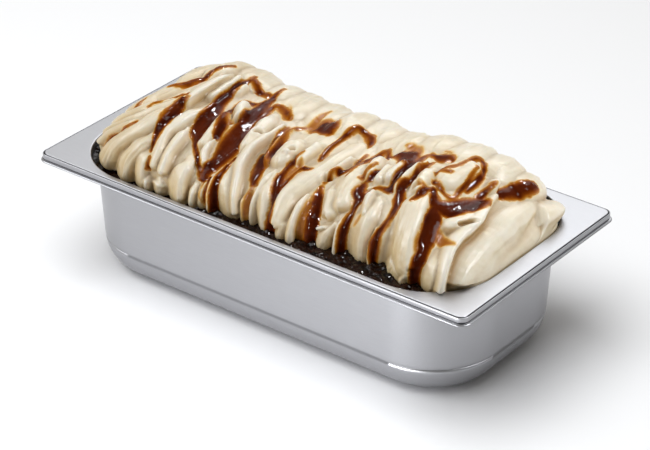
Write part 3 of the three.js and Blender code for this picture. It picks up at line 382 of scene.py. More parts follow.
# ------------ camera, solved from the photo
CAMERA_AZIMUTH = 37.704
CAMERA_ELEVATION = 29.874
CAMERA_DISTANCE = 1705.7
CAMERA_TARGET = (38.83, -45.44, RIM_Z)
FOCAL_LENGTH = 144.1
SENSOR_WIDTH = 36.0

# ------------ studio, in metres
FLOOR_HALF = 6.0
LIGHT_COLOUR = (0.96, 0.98, 1)
# The slots that each group of lights reaches
LIT_SLOTS = {
    "food_and_pan": ("steel", "gelato", "caramel", "syrup"),
    "pan": ("steel",),
    "sauce": ("caramel", "syrup"),
    "caramel": ("caramel",),
    "floor": (),
}
OBJECT_MIDDLE = (0, 0, 0.08)
# (name, place, size, power, group lit and the aim where it isn't the object's middle);
# a spark gives glints and no diffuse light
LIGHTS = [
    ("softbox_left", (-1.1, -0.9, 1.1), (1.2, 1.0), 16, "food_and_pan"),
    ("softbox_floor", (-0.2, -0.5, 1.9), (2.0, 2.0), 52, "floor"),
    ("softbox_behind", (-0.35, 1.5, 1.25), (1.5, 1.0), 10.5, "food_and_pan"),
    ("softbox_right", (1.0, 0.35, 1.15), (0.6, 0.6), 13, "food_and_pan"),
    ("softbox_top", (-0.35, 0.45, 1.25), (1.0, 0.7), 10, "pan"),
    ("softbox_flange", (-1.6, 1.5, 1.25), (1.0, 1.0), 3, "pan"),
    ("softbox_front", (0.06, -0.55, 0.04), (0.3, 0.07), 3.4, "pan", (0.06, 0, 0.04)),
    ("spark_left", (-0.9, 0.1, 1.2), (0.1, 0.1), 14, "caramel"),
    ("spark_right", (-0.1, 0.9, 1.2), (0.1, 0.1), 18, "caramel"),
    ("spark_front", (0.2, -0.8, 1.3), (0.12, 0.12), 24, "sauce"),
    ("spark_low", (0.4, -1.2, 0.7), (0.12, 0.12), 24, "sauce"),
]


# ============ small numpy and mesh tools
def smoothstep(low, high, value):
    t = np.clip((value - low) / (high - low), 0, 1)
    return t * t * (3 - 2 * t)


def interpolate(table, x):
    at, value = np.array(table, float).T
    i = np.clip(np.searchsorted(at, x) - 1, 0, len(at) - 2)
    t = smoothstep(0, 1, (x - at[i]) / (at[i + 1] - at[i]))
    return value[i] + (value[i + 1] - value[i]) * t


def rounded_line(points):
    """A smooth line through the points (Catmull-Rom)."""
    p = np.array(points, float)
    if len(p) < 3:
        return p
    p = np.vstack([2 * p[0] - p[1], p, 2 * p[-1] - p[-2]])
    out = []
    for a, b, c, d in zip(p[:-3], p[1:-2], p[2:-1], p[3:]):
        for t in np.arange(CURVE_STEPS) / CURVE_STEPS:
            out.append(0.5 * (2 * b + (c - a) * t + (2 * a - 5 * b + 4 * c - d) * t * t
                              + (3 * b - a - 3 * c + d) * t ** 3))
    out.append(p[-2])
    return np.array(out)


def to_segment(a, b, x, y):
    """The distance to a segment, the share of the way along it, and the side."""
    dx, dy = b - a
    px, py = x - a[0], y - a[1]
    t = np.clip((px * dx + py * dy) / (dx * dx + dy * dy), 0, 1)
    return np.hypot(px - t * dx, py - t * dy), t, np.sign(px * dy - py * dx)


def distance_to_line(line, x, degrees):
    """Distance in mm to a line of the (x, arch angle) map, its side and the place along it."""
    line = np.array(line, float) * (1, MM_PER_DEGREE)
    best = np.full(x.shape, np.inf)
    side = np.ones(x.shape)
    along = np.zeros(x.shape)
    for i, (a, b) in enumerate(zip(line[:-1], line[1:])):
        distance, t, turn = to_segment(a, b, x, degrees * MM_PER_DEGREE)
        near = distance < best
        best = np.where(near, distance, best)
        side = np.where(near, turn, side)
        along = np.where(near, (i + t) / (len(line) - 1), along)
    return best, side, along


def blur(grid, *sigmas):
    """Gaussian blur of a grid along its columns and rows, with its edges held."""
    for axis, sigma in enumerate(sigmas):
        reach = math.ceil(3 * sigma)
        kernel = np.exp(-0.5 * (np.arange(-reach, reach + 1) / sigma) ** 2)
        kernel /= kernel.sum()
        pad = [(0, 0), (0, 0)]
        pad[axis] = (reach, reach)
        padded = np.pad(grid, pad, mode="edge")
        size = grid.shape[axis]
        grid = sum(k * np.take(padded, np.arange(j, j + size), axis=axis)
                   for j, k in enumerate(kernel))
    return grid


def noise_field(points, height, size, place, octaves=2):
    """Smooth noise of about the given height either way, with features of the given size."""
    flat = (points + place).reshape(-1, 3) / size
    values = [noise.fractal(Vector(p), 1.0, 2.0, octaves) for p in flat]
    return height * np.array(values).reshape(points.shape[:-1])


def make_mesh(name, points_mm, faces):
    mesh = bpy.data.meshes.new(name)
    mesh.from_pydata((np.asarray(points_mm) * MM).tolist(), [], faces)
    mesh.validate()
    mesh.polygons.foreach_set("use_smooth", [True] * len(mesh.polygons))
    mesh.update()
    piece = bpy.data.objects.new(name, mesh)
    bpy.context.scene.collection.objects.link(piece)
    return piece


def add_attribute(piece, name, values):
    """A number at each vertex for the material; vertices past the given ones get 0."""
    attribute = piece.data.attributes.new(name, "FLOAT", "POINT")
    padded = np.zeros(len(piece.data.vertices), np.float32)
    padded[:len(values)] = values
    attribute.data.foreach_set("value", padded)


def strip_faces(ring_a, ring_b):
    """Quads between two closed rings of vertex numbers."""
    a2, b2 = np.roll(ring_a, -1), np.roll(ring_b, -1)
    return np.stack([a2, ring_a, ring_b, b2], axis=1).tolist()


def at_height(plan, z):
    return np.hstack([plan, np.full((len(plan), 1), z)])


# ============ the pan
def rounded_loop(half, radius, z):
    """A rounded rectangle, anticlockwise from above, with the same number of points always."""
    core = half - radius
    arcs = []
    for sign, start in (((1, -1), -90), ((1, 1), 0), ((-1, 1), 90), ((-1, -1), 180)):
        a = np.radians(start + np.linspace(0, 90, CORNER_STEPS + 1))
        arcs.append(core * sign + radius * np.stack([np.cos(a), np.sin(a)], axis=1))
    loop = []
    for arc, next_arc in zip(arcs, arcs[1:] + arcs[:1]):
        share = np.linspace(0, 1, STRAIGHT_STEPS + 1)[1:-1, None]
        loop += [arc, arc[-1] + (next_arc[0] - arc[-1]) * share]
    return at_height(np.vstack(loop), z)


def pan_wall_rings(grow):
    """The wall below the mouth, from the base up: the inside, or the outside if grown."""
    low = BODY_HALF - BODY_TAPER
    reach = BASE_FILLET + grow
    radius = OPENING_RADIUS + grow
    rings = []
    for a in np.radians(np.linspace(0, 90, FILLET_STEPS + 1)):
        inset = BASE_FILLET - reach * math.sin(a)
        z = SHEET - grow + reach * (1 - math.cos(a))
        rings.append(rounded_loop(low - CREASE_STEP - inset, BASE_RADIUS - inset, z))
    for share in CREASE_SHARES:
        inset = CREASE_STEP * (1 - smoothstep(0, 1, share)) - grow
        rings.append(rounded_loop(low - inset, radius, CREASE_Z + CREASE_HEIGHT * share))
    bottom = CREASE_Z + CREASE_HEIGHT
    for share in WALL_SHARES:
        z = bottom + (BODY_TOP_Z - grow - bottom) * share
        rings.append(rounded_loop(low + BODY_TAPER * share + grow, radius, z))
    for out, up in SHOULDER_PROFILE:
        z = BODY_TOP_Z + (RIM_Z - NECK_DEPTH - BODY_TOP_Z) * up - grow * (1 - out)
        rings.append(rounded_loop(BODY_HALF + (OPENING_HALF - BODY_HALF) * out + grow, radius, z))
    return rings


def profile_rings(half, radius, profile, way):
    """Loops of a profile of (step, drop), stepping outwards for a way of 1 and inwards for -1."""
    return [rounded_loop(half + way * step, radius + way * step, RIM_Z - drop) for step, drop in profile]


def make_pan():
    inside = pan_wall_rings(0) + profile_rings(OPENING_HALF, OPENING_RADIUS, MOUTH_PROFILE, 1)
    edge = profile_rings(LIP_HALF, LIP_RADIUS, LIP_PROFILE, -1)
    under = profile_rings(OPENING_HALF, OPENING_RADIUS, UNDER_PROFILE, 1)
    rings = inside + edge + under + pan_wall_rings(SHEET)[::-1]
    count = len(rings[0])
    faces = []
    for r in range(len(rings) - 1):
        here = np.arange(count) + r * count
        faces += strip_faces(here, here + count)
    last = (len(rings) - 1) * count
    faces += [list(range(count)), list(range(last, last + count))[::-1]]
    piece = make_mesh("steel_pan", np.vstack(rings), faces)
    # The groove floors get painted shade in the material
    groove_shade = np.zeros((len(rings), count))
    for groove in GROOVES:
        groove_shade[len(inside) + LIP_PROFILE.index(groove)] = 1
    add_attribute(piece, "groove_shade", groove_shade.ravel())
    return piece


# ============ the gelato
def by_side(x, pair):
    """The first of the pair on the left of the middle, the second on the right."""
    return np.where(x < 0, *pair)


def rounded_fall(t, power):
    """From 1 at t = 0 to 0 at t = 1, along a quarter of a superellipse."""
    return (1 - np.clip(t, 0, 1) ** power) ** (1 / power)


def heap_points(x, degrees):
    """The smooth heap, before its pleats."""
    c = np.cos(np.radians(degrees))
    s = np.maximum(np.sin(np.radians(degrees)), 0)
    tip = by_side(x, (-HEAP_LEFT, HEAP_RIGHT))
    plan_share = rounded_fall(np.abs(x) / tip, by_side(x, PLAN_POWER))
    end_share = rounded_fall((np.abs(x) - END_FROM) / (tip - END_FROM), by_side(x, END_POWER))
    half = np.where(c > 0, interpolate(NEAR_EDGE, x), HEAP_FAR) * plan_share
    y = -half * np.sign(c) * np.abs(c) ** (2 / ARCH_POWER)
    z = HEAP_Z + interpolate(CREST, x) * end_share * s ** (2 / ARCH_POWER)
    return np.stack([x, y, z], axis=-1)


def heap_normals(x, degrees):
    step = 1.0
    margin = 0.02
    x0 = np.maximum(x - step, HEAP_LEFT + margin)
    x1 = np.minimum(x + step, HEAP_RIGHT - margin)
    d0 = np.maximum(degrees - step, 0)
    d1 = np.minimum(degrees + step, 180)
    along = heap_points(x1, degrees) - heap_points(x0, degrees)
    around = heap_points(x, d1) - heap_points(x, d0)
    normal = np.cross(along, around)
    return normal / np.linalg.norm(normal, axis=-1, keepdims=True)


def all_pleats():
    pleats = []
    for rise, left, right, spine in PLEATS:
        (x, angle), (next_x, next_angle) = spine[:2]
        if angle < FOOT_ANGLE:
            step = FOOT_EXTRA / (next_angle - angle)
            spine = [(x - (next_x - x) * step, angle - FOOT_EXTRA), *spine]
        pleats.append((rise, left, right, spine))
    for top, foot, top_angle, half in FAR_PLEATS:
        middle = ((top + foot) / 2, (top_angle + FAR_FOOT) / 2)
        pleats.append((FAR_RISE, half, half, [(top, top_angle), middle, (foot, FAR_FOOT)]))
    return pleats


def pleat_height(x, degrees):
    """The height of the pleats, and where each point lies on its pleat: across, along, number."""
    height = np.zeros(x.shape)
    flow = np.zeros((*x.shape, 3))
    for number, (rise, flank_left, flank_right, spine) in enumerate(all_pleats()):
        distance, side, along = distance_to_line(rounded_line(spine), x, degrees)
        tip = smoothstep(0, TIP_SHARE, 1 - along)
        narrow, low = (size + (1 - size) * tip for size in TIP_SIZE)
        width = np.where(side > 0, flank_right, flank_left) * narrow
        power = np.where(side > 0, PLEAT_POWER[1], PLEAT_POWER[0])
        own = rise * low * (1 - np.minimum(distance / width, 1) ** power)
        own += CREST_LINE[0] * tip * np.exp(-((distance / CREST_LINE[1]) ** 2))
        higher = own > height
        height = np.where(higher, own, height)
        place = [distance * side, along * FLOW_LENGTH, np.full(x.shape, number * FLOW_APART)]
        flow = np.where(higher[..., None], np.stack(place, axis=-1), flow)
    return height, flow


def hole_height(x, degrees):
    height = np.zeros(x.shape)
    for path, radius, depth in HOLES:
        distance, _, _ = distance_to_line(path, x, degrees)
        height -= depth * np.exp(-((distance / radius) ** 4))
        height += HOLE_LIP * np.exp(-(((distance - 2 * radius) / radius) ** 2))
    return height


def grid_columns():
    """X of each column of the grid, closer together towards both ends."""
    gaps = END_FADE * END_RATIO ** np.arange(END_COLUMNS)
    left = HEAP_LEFT + gaps[::-1]
    right = HEAP_RIGHT - gaps
    middle = np.linspace(left[-1], right[0], COLUMNS - 2 * END_COLUMNS + 2)[1:-1]
    return np.concatenate([left, middle, right])


class Heap:
    """The grid that the gelato and the caramel share."""

    def __init__(self):
        self.x, self.degrees = np.meshgrid(
            grid_columns(), np.linspace(0, 180, ARCH_ROWS + 1), indexing="ij")
        self.base = heap_points(self.x, self.degrees)
        self.normal = heap_normals(self.x, self.degrees)
        self.fade = smoothstep(0, END_FADE, np.minimum(self.x - HEAP_LEFT, HEAP_RIGHT - self.x))
        pleats, self.flow = pleat_height(
            self.x + noise_field(self.base, *WANDER_X),
            self.degrees + noise_field(self.base, *WANDER_ANGLE))
        ridges = noise_field(self.flow * STRIPE_STRETCH, STRIPE_STEEPNESS, 1.0, 0, 3)
        toward_right = smoothstep(STRIPE_FROM, STRIPE_TO, self.x)
        stripe_rise = LEFT_STRIPE_RISE + (STRIPE_RISE - LEFT_STRIPE_RISE) * toward_right
        self.height = VALLEY + blur(pleats, *PLEAT_BLUR) + hole_height(self.x, self.degrees)
        self.height += stripe_rise * (STRIPE_MIDDLE - np.abs(ridges))
        self.height += sum(noise_field(self.base, *lump) for lump in LUMPS)
        self.caramel_thickness, self.stain = caramel_fields(self)

    def place(self, height):
        """Points at a height above the smooth heap, leaning over to the right."""
        lift = height * self.fade
        leaned = self.base + self.normal * lift[..., None]
        leaned[..., 0] += LEAN * np.maximum(lift, 0)
        return kept_in_mouth(leaned)


def rounded_point_near(points, half, radius):
    """The points of a rounded rectangle nearest to the given points, in plan."""
    core = half - radius
    plan = points[:, :2]
    inner = np.clip(plan, -core, core)
    away = plan - inner
    return inner + away * radius / np.linalg.norm(away, axis=1, keepdims=True)


def kept_in_mouth(points):
    """Points below the rim are held off the pan's wall, as the gelato is pressed flat there."""
    flat = points.reshape(-1, 3)
    radius = OPENING_RADIUS - WALL_GAP
    away = np.maximum(np.abs(flat[:, :2]) - (OPENING_HALF - OPENING_RADIUS), 0)
    over = (np.hypot(*away.T) > radius) & (flat[:, 2] < RIM_Z + WALL_GAP)
    flat[over, :2] = rounded_point_near(flat[over], OPENING_HALF - WALL_GAP, radius)
    return flat.reshape(points.shape)


def make_gelato(heap):
    surface = heap.place(heap.height)
    columns, rows = surface.shape[:2]
    number = np.arange(columns * rows).reshape(columns, rows)
    left_tip, right_tip = columns * rows, columns * rows + 1
    tips = heap_points(np.array([HEAP_LEFT, HEAP_RIGHT]), np.zeros(2))
    shell = np.vstack([surface.reshape(-1, 3), tips])
    quads = [number[:-1, :-1], number[1:, :-1], number[1:, 1:], number[:-1, 1:]]
    faces = np.stack(quads, axis=-1).reshape(-1, 4).tolist()
    for r in range(rows - 1):
        faces.append([left_tip, int(number[0, r]), int(number[0, r + 1])])
        faces.append([right_tip, int(number[-1, r + 1]), int(number[-1, r])])
    edge = np.concatenate([[left_tip], number[:, 0], [right_tip], number[::-1, -1]])
    x = heap.x[:, 0]
    foot = np.vstack([tips[:1], heap_points(x, np.zeros(columns)), tips[1:],
                      heap_points(x, np.full(columns, 180.0))[::-1]])
    rings = underside_rings(shell[edge], foot)
    previous = edge
    for r in range(len(rings)):
        here = np.arange(len(edge)) + len(shell) + r * len(edge)
        faces += strip_faces(previous, here)
        previous = here
    faces.append(previous[::-1].tolist())
    piece = make_mesh("gelato_heap", np.vstack([shell, *rings]), faces)
    # how hollow each place is, for painted crease shade and painted highlights on raised places
    hollow = np.clip((blur(heap.height, *HOLLOW_BLUR) - heap.height) / HOLLOW_DEPTH, -1, 1)
    stain = np.append(heap.stain.ravel(), [0, 0])
    add_attribute(piece, "hollow", hollow.ravel())
    # painted light on places that face up or to the right
    add_attribute(piece, "lit", lit_share(surface).ravel())
    add_attribute(piece, "stain", np.append(stain, [stain[edge]] * CURL_RINGS))
    flow = piece.data.attributes.new("flow", "FLOAT_VECTOR", "POINT")
    values = np.zeros((len(piece.data.vertices), 3), np.float32)
    values[:heap.x.size] = heap.flow.reshape(-1, 3)
    flow.data.foreach_set("vector", values.ravel())
    return piece


def lit_share(surface):
    """How far a place faces up or to the right, for the painted light on the gelato, with less of it at
    the coffee-coloured left end.
    """
    normal = np.cross(np.gradient(surface, axis=0), np.gradient(surface, axis=1))
    normal /= np.maximum(np.linalg.norm(normal, axis=-1, keepdims=True), 1e-9)
    facing = smoothstep(*LIT_RANGE, normal[..., 2] + LIT_SLANT * normal[..., 0])
    return facing * (1 - LIT_LEFT_LOSS * smoothstep(*LIT_LEFT, surface[..., 0]))


def underside_rings(lobes, foot):
    """From the pleats' feet down: curled feet, neck, ledge and the body in the pan."""
    def outline(half, radius, z):
        return at_height(rounded_point_near(foot, half, radius), z)

    neck = outline(NECK_HALF, NECK_RADIUS, LOBE_Z)
    inward = neck[:, :2] - lobes[:, :2]
    inward *= np.minimum(LOBE_UNDERCUT / np.linalg.norm(inward, axis=1, keepdims=True), UNDERCUT_MOST)
    rings = []
    for a in np.radians(np.linspace(0, 90, CURL_RINGS + 1)[1:]):
        ring = lobes.copy()
        ring[:, :2] += inward * (1 - math.cos(a))
        ring[:, 2] += (LOBE_Z - lobes[:, 2]) * math.sin(a)
        rings.append(ring)
    bottom = BODY_HALF - BODY_TAPER - CREASE_STEP - WALL_GAP
    rings += [
        neck,
        outline(NECK_HALF, NECK_RADIUS, LEDGE_Z),
        outline(BODY_HALF - WALL_GAP, OPENING_RADIUS, BODY_TOP_Z),
        outline(bottom, OPENING_RADIUS, CREASE_Z),
    ]
    for a in np.radians(BASE_ANGLES):
        inset = BASE_FILLET * (1 - math.cos(a))
        z = SHEET + WALL_GAP + BASE_FILLET * (1 - math.sin(a))
        rings.append(outline(bottom - inset, OPENING_RADIUS - inset, z))
    return rings


# ============ the caramel
def depth_in_ribbons(ribbons, heap):
    """How far inside the ribbons each point of the grid lies, in mm."""
    y = heap.degrees * MM_PER_DEGREE
    deepest = np.full(heap.x.shape, -np.inf)
    for ribbon in ribbons:
        path = rounded_line(ribbon) * (1, MM_PER_DEGREE, 1)
        for a, b in zip(path[:-1], path[1:]):
            distance, t, _ = to_segment(a[:2], b[:2], heap.x, y)
            deepest = np.maximum(deepest, a[2] + (b[2] - a[2]) * t - distance)
    return deepest


def caramel_fields(heap):
    """The caramel's thickness at each grid point in mm, and how far it stains the gelato."""
    sunk = blur(heap.height, *SUNK_BLUR) - heap.height
    ragged = noise_field(heap.base, *RAGGED, 3) + SUNK_PULL * np.clip(sunk, *SUNK_RANGE)
    thick = depth_in_ribbons(DRIZZLE, heap) + SPREAD + ragged
    thin = depth_in_ribbons(GLAZE, heap) + 2 * ragged
    film = EDGE_FILM * np.sqrt(smoothstep(*EDGE_RANGE, thick))
    film += MIDDLE_FILM * smoothstep(*MIDDLE_RANGE, thick)
    film *= 1 + noise_field(heap.base, *FILM_CHANGE)
    pooled = np.maximum(sunk, 0) * smoothstep(*POOL_RANGE, thick)
    ripple = noise_field(heap.base, *RIPPLE) * smoothstep(*RIPPLE_RANGE, thick)
    outside = OUTSIDE_SLOPE * np.maximum(thick, OUTSIDE_MOST)
    thickness = np.where(thick > 0, film + pooled + ripple, outside)
    halo = smoothstep(*HALO_RANGE, thick + noise_field(heap.base, *HALO))
    amber = AMBER * np.maximum(halo, GLAZE_SHARE * smoothstep(*GLAZE_RANGE, thin))
    return thickness, amber + (1 - AMBER) * smoothstep(*DARK_RANGE, thick)


def make_caramel(heap):
    thickness = blur(heap.caramel_thickness, *CARAMEL_BLUR)
    inside = thickness > CARAMEL_EDGE
    corners = ((0, 0), (1, 0), (1, 1), (0, 1))
    i, j = np.nonzero(inside[:-1, :-1] | inside[1:, :-1] | inside[1:, 1:] | inside[:-1, 1:])
    used = np.zeros(inside.shape, bool)
    for di, dj in corners:
        used[i + di, j + dj] = True
    number = np.cumsum(used).reshape(used.shape) - 1
    quads = np.stack([number[i + di, j + dj] for di, dj in corners], axis=1)
    count = int(used.sum())
    upper = heap.place(heap.height + thickness)
    lower = heap.place(heap.height - CARAMEL_SUNK)
    faces = quads.tolist() + (quads[:, ::-1] + count).tolist()
    edges = [(a, b) for quad in quads.tolist() for a, b in zip(quad, quad[1:] + quad[:1])]
    shared = set(edges)
    faces += [[b, a, a + count, b + count] for a, b in edges if (b, a) not in shared]
    piece = make_mesh("caramel_drizzle", np.vstack([upper[used], lower[used]]), faces)
    depth = np.clip(thickness[used] / CARAMEL_FULL, 0, 1)
    add_attribute(piece, "depth", np.append(depth, depth))
    return piece


# ============ the syrup
def make_syrup(gelato):
    gap = SYRUP_GAP
    outer = rounded_ring(OPENING_HALF - gap, OPENING_RADIUS - gap)
    inner = rounded_ring(NECK_HALF + gap, NECK_RADIUS + gap)
    share = np.linspace(0, 1, SYRUP_ACROSS + 1)[:, None]
    top = inner + (outer - inner) * share[..., None]
    near = smoothstep(NEAR_FROM, NEAR_FULL, top[..., 1])
    drop = SYRUP_DROP + (interpolate(NEAR_DROP, top[..., 0]) - SYRUP_DROP) * near
    bank = SYRUP_BANK * near * (1 - share) * (SYRUP_DROP - drop) / SYRUP_DROP
    flat = np.dstack([top, RIM_Z - drop + bank])
    low = LEDGE_Z + gap
    outer_low = RIM_Z - NECK_DEPTH + gap
    bed = np.full_like(drop, low + SYRUP_LEAST) + (outer_low - low) * share
    height = flat[..., 2] + crumb_height(flat) + noise_field(flat, *SYRUP_SWELL)
    height = np.maximum(np.minimum(height, space_above(gelato, top, bed) - gap), bed)
    rings = [np.column_stack([top[k], height[k]]) for k in range(SYRUP_ACROSS, -1, -1)]
    rings += [at_height(inner, low), at_height(outer, outer_low)]
    numbers = np.arange(len(rings) * len(inner)).reshape(len(rings), -1)
    faces = []
    for here, there in zip(numbers, np.roll(numbers, -1, axis=0)):
        faces += strip_faces(there, here)
    return make_mesh("crumbly_syrup", np.vstack(rings), faces)


def rounded_ring(half, radius):
    """Evenly matched points of a rounded rectangle, in plan."""
    a = np.linspace(0, 2 * math.pi, SYRUP_AROUND, endpoint=False)
    oval = np.stack([np.cos(a), np.sin(a)], axis=1) * GUIDE_OVAL
    guide = oval / np.max(np.abs(oval) / GUIDE_BOX, axis=1, keepdims=True)
    return rounded_point_near(guide, half, radius)


def space_above(piece, plan, bed):
    """Height in mm of the underside of the piece above each place of a bed."""
    mesh = piece.data
    tree = BVHTree.FromPolygons([v.co for v in mesh.vertices], [p.vertices[:] for p in mesh.polygons])
    out = np.full(bed.size, RIM_Z + SYRUP_DROP)
    for i, start in enumerate(np.dstack([plan, bed]).reshape(-1, 3) * MM):
        place = tree.ray_cast(Vector(start), Vector((0, 0, 1)))[0]
        if place:
            out[i] = place.z / MM
    return out.reshape(bed.shape)


def crumb_height(points):
    """Crumbs pressed together, some higher than others, as height in mm."""
    share, steepness = CRUMB_DOME
    out = []
    for x, y, _ in points.reshape(-1, 3) / CRUMB:
        distances, centres = noise.voronoi(Vector((x, y, 0.0)))
        dome = max(0.0, 1 - steepness * distances[0])
        out.append(share * dome + CRUMB_SHIFT * noise.cell(centres[0] * CRUMB_SEED))
    return (np.reshape(out, points.shape[:-1]) - CRUMB_MIDDLE) * CRUMB_RISE


# ============ the materials
def fill(socket, value):
    """Links an output socket to an input, or sets a constant."""
    if isinstance(value, bpy.types.NodeSocket):
        socket.id_data.links.new(value, socket)
    else:
        socket.default_value = value


def fill_all(node, inputs):
    for name, value in inputs.items():
        fill(node.inputs[name.replace("_", " ")], value)


def add_node(tree, kind, output, **inputs):
    """A shader node with constants or output sockets at its inputs; returns one of its outputs."""
    node = tree.nodes.new("ShaderNode" + kind)
    fill_all(node, inputs)
    return node.outputs[output]


def new_material(name, make_inputs):
    """A material whose main shader gets the inputs made from its node tree."""
    material = bpy.data.materials.new(name)
    material.use_nodes = True
    tree = material.node_tree
    fill_all(tree.nodes["Principled BSDF"], make_inputs(tree))
    return material


def object_noise(tree, **inputs):
    return add_node(tree, "TexNoise", "Fac", Vector=add_node(tree, "TexCoord", "Object"), **inputs)


def map_range(tree, value, low, high, out_low, out_high):
    return add_node(tree, "MapRange", "Result", Value=value, From_Min=low, From_Max=high,
                    To_Min=out_low, To_Max=out_high)


def ramp(tree, factor, stops):
    node = tree.nodes.new("ShaderNodeValToRGB")
    fill(node.inputs["Fac"], factor)
    elements = node.color_ramp.elements
    while len(elements) < len(stops):
        elements.new(0.5)
    for element, (position, colour) in zip(elements, stops):
        element.position = position
        element.color = (*colour, 1)
    return node.outputs["Color"]


def vertex_value(tree, name, output="Fac"):
    node = tree.nodes.new("ShaderNodeAttribute")
    node.attribute_name = name
    return node.outputs[output]


def mix_colour(tree, factor, first, second):
    """Mixes two colours; each of the three may be an output socket or a value."""
    node = tree.nodes.new("ShaderNodeMix")
    node.data_type = "RGBA"
    for number, value in ((0, factor), (6, first), (7, second)):
        fill(node.inputs[number], value)
    return node.outputs[2]


def steel(tree):
    """Satin steel, brushed along the pan, with painted shade on the floors of its grooves."""
    place = add_node(tree, "TexCoord", "Object")
    stretched = add_node(tree, "Mapping", "Vector", Vector=place, Scale=(6, 260, 260))
    brush = add_node(tree, "TexNoise", "Fac", Vector=stretched, Scale=14.0, Detail=4.0)
    tone = ramp(tree, brush, [(0.3, (0.36, 0.36, 0.376)), (0.7, (0.39, 0.39, 0.406))])
    return {
        # Painted shade: the groove floors are darkened nearly to black
        "Base Color": mix_colour(tree, vertex_value(tree, "groove_shade"), tone, (0.02, 0.02, 0.022, 1)),
        "Roughness": map_range(tree, brush, 0, 1, 0.34, 0.42),
        "Normal": add_node(tree, "Bump", "Normal", Height=brush, Strength=0.05, Distance=0.0003),
        "Metallic": 1.0,
    }


def tiramisu_gelato(tree):
    """Painted light and shade: coffee brown in the shade and cream where it faces up, painted shade in
    the hollows, a painted highlight on raised places, and stained by the caramel.
    """
    cloud = object_noise(tree, Scale=34.0, Detail=4.0, Roughness=0.6)
    # Coffee colour, partly the left end's own tone and partly painted shade, and cream for painted light
    coffee_and_shade = ramp(tree, cloud, [
        (0.25, (0.65, 0.47, 0.24)), (0.5, (0.71, 0.54, 0.29)), (0.78, (0.77, 0.61, 0.35)),
    ])
    lit_cream = ramp(tree, cloud, [
        (0.25, (0.81, 0.70, 0.51)), (0.5, (0.86, 0.77, 0.60)), (0.78, (0.89, 0.82, 0.68)),
    ])
    hollow = vertex_value(tree, "hollow")
    stain = vertex_value(tree, "stain")
    # Painted light: cream where a place faces up or right, the coffee and shade copy elsewhere
    body = mix_colour(tree, vertex_value(tree, "lit"), coffee_and_shade, lit_cream)
    # Painted shade in the hollows
    body = mix_colour(tree, map_range(tree, hollow, -0.1, 0.9, 0, 0.9), body, (0.42, 0.25, 0.09, 1))
    # Painted highlight on the raised places
    body = mix_colour(tree, map_range(tree, hollow, -0.1, -0.8, 0, 0.6), body, (0.95, 0.91, 0.82, 1))
    amber = ramp(tree, stain, [
        (0.1, (0.80, 0.58, 0.27)), (0.3, (0.66, 0.35, 0.07)), (0.48, (0.46, 0.17, 0.018)),
        (AMBER, (0.34, 0.088, 0.004)), (1.0, (0.14, 0.018, 0.001)),
    ])
    flow = add_node(tree, "Mapping", "Vector", Vector=vertex_value(tree, "flow", "Vector"),
                    Scale=(0.55, 0.035, 1.0))
    streak = add_node(tree, "TexNoise", "Fac", Vector=flow, Scale=1.0, Detail=4.0, Roughness=0.6)
    grain = object_noise(tree, Scale=700.0, Detail=3.0, Roughness=0.6)
    streaks = add_node(tree, "Bump", "Normal", Height=streak, Strength=0.5, Distance=0.0012)
    return {
        "Base Color": mix_colour(tree, map_range(tree, stain, 0, 0.2, 0, 1), body, amber),
        "Roughness": map_range(tree, stain, 0.2, AMBER, 0.3, 0.14),
        "Normal": add_node(tree, "Bump", "Normal", Height=grain, Strength=0.2, Distance=0.0003,
                           Normal=streaks),
        "Specular IOR Level": 0.7,
        "Subsurface Weight": 0.1,
        "Subsurface Radius": (0.005, 0.003, 0.0015),
        "Subsurface Scale": 1.0,
    }


def caramel_sauce(tree):
    """Amber where it is thin and nearly black where it is deep."""
    ripple = object_noise(tree, Scale=190.0, Detail=3.0)
    return {
        "Base Color": ramp(tree, vertex_value(tree, "depth"), [
            (0.0, (0.46, 0.175, 0.014)), (0.07, (0.32, 0.085, 0.004)), (0.15, (0.17, 0.032, 0.001)),
            (0.28, (0.088, 0.011, 0.0006)), (0.7, (0.045, 0.005, 0.0003)),
        ]),
        "Normal": add_node(tree, "Bump", "Normal", Height=ripple, Strength=0.4, Distance=0.0009),
        "Roughness": 0.12,
        "IOR": 1.17,
    }


def dark_syrup(tree):
    patch = object_noise(tree, Scale=260.0, Detail=3.0)
    return {
        "Base Color": ramp(tree, patch, [(0.35, (0.003, 0.001, 0.0008)), (0.7, (0.026, 0.008, 0.004))]),
        "Normal": add_node(tree, "Bump", "Normal", Height=patch, Strength=0.8, Distance=0.001),
        "Roughness": 0.05,
        "IOR": 1.3,
    }


def pale_floor(tree):
    return {"Base Color": (0.86, 0.86, 0.87, 1), "Roughness": 0.7}


# ============ the studio
def make_camera():
    azimuth, elevation = math.radians(CAMERA_AZIMUTH), math.radians(CAMERA_ELEVATION)
    back = Vector((math.sin(azimuth) * math.cos(elevation),
                   -math.cos(azimuth) * math.cos(elevation), math.sin(elevation)))
    camera = bpy.data.objects.new("camera", bpy.data.cameras.new("camera"))
    camera.location = (Vector(CAMERA_TARGET) + back * CAMERA_DISTANCE) * MM
    camera.rotation_euler = back.to_track_quat("Z", "Y").to_euler()
    camera.data.lens = FOCAL_LENGTH
    camera.data.sensor_width = SENSOR_WIDTH
    camera.data.clip_end = 50
    bpy.context.scene.collection.objects.link(camera)
    bpy.context.scene.camera = camera


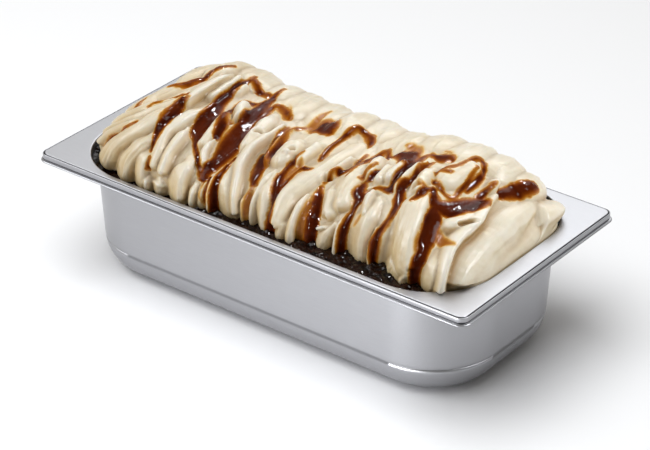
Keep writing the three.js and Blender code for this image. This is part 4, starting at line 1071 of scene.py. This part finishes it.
def add_light(name, place, size, power, group, aim=OBJECT_MIDDLE):
    """A rectangular softbox that lights the pieces of one group alone."""
    data = bpy.data.lights.new(name, "AREA")
    data.shape = "RECTANGLE"
    data.size, data.size_y = size
    data.energy = power
    data.color = LIGHT_COLOUR
    light = bpy.data.objects.new(name, data)
    light.location = place
    light.rotation_euler = (Vector(place) - Vector(aim)).to_track_quat("Z", "Y").to_euler()
    light.visible_camera = False
    light.visible_diffuse = not name.startswith("spark")
    light.light_linking.receiver_collection = bpy.data.collections[group]
    bpy.context.scene.collection.objects.link(light)


def make_studio():
    corners = np.array([(-1, -1, 0), (1, -1, 0), (1, 1, 0), (-1, 1, 0)])
    floor = make_mesh("studio_floor", corners * FLOOR_HALF / MM, [[0, 1, 2, 3]])
    floor.data.materials.append(new_material("pale_floor", pale_floor))
    bpy.data.collections["floor"].objects.link(floor)
    make_world()
    for light in LIGHTS:
        add_light(*light)
    bpy.context.scene.view_settings.view_transform = "Standard"


def make_world():
    """Pale walls all round, brighter on the left and a little darker above."""
    world = bpy.data.worlds.new("studio")
    bpy.context.scene.world = world
    world.use_nodes = True
    tree = world.node_tree
    split = tree.nodes.new("ShaderNodeSeparateXYZ")
    fill(split.inputs["Vector"], add_node(tree, "TexCoord", "Generated"))
    level = tree.nodes.new("ShaderNodeMath")
    level.operation = "MULTIPLY"
    fill(level.inputs[0], map_range(tree, split.outputs["Z"], -0.1, 0.9, 0.42, 0.34))
    fill(level.inputs[1], map_range(tree, split.outputs["X"], -0.9, 0.9, 1.25, 0.45))
    fill_all(tree.nodes["Background"], {"Color": (1, 0.965, 0.90, 1), "Strength": level.outputs["Value"]})


def finish_piece(piece, node, slot, material):
    piece.data.materials.append(material)
    for group, slots in LIT_SLOTS.items():
        if slot in slots:
            bpy.data.collections[group].objects.link(piece)
    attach(piece, "root")
    if node:
        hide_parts(node)


make_camera()
for group in LIT_SLOTS:
    bpy.data.collections.new(group)
make_studio()
heap = Heap()
finish_piece(make_pan(), "pan", "steel", new_material("satin_steel", steel))
gelato = make_gelato(heap)
finish_piece(gelato, "gelato", "gelato", new_material("tiramisu_gelato", tiramisu_gelato))
finish_piece(make_caramel(heap), None, "caramel", new_material("caramel_sauce", caramel_sauce))
finish_piece(make_syrup(gelato), "syrup", "syrup", new_material("dark_syrup", dark_syrup))
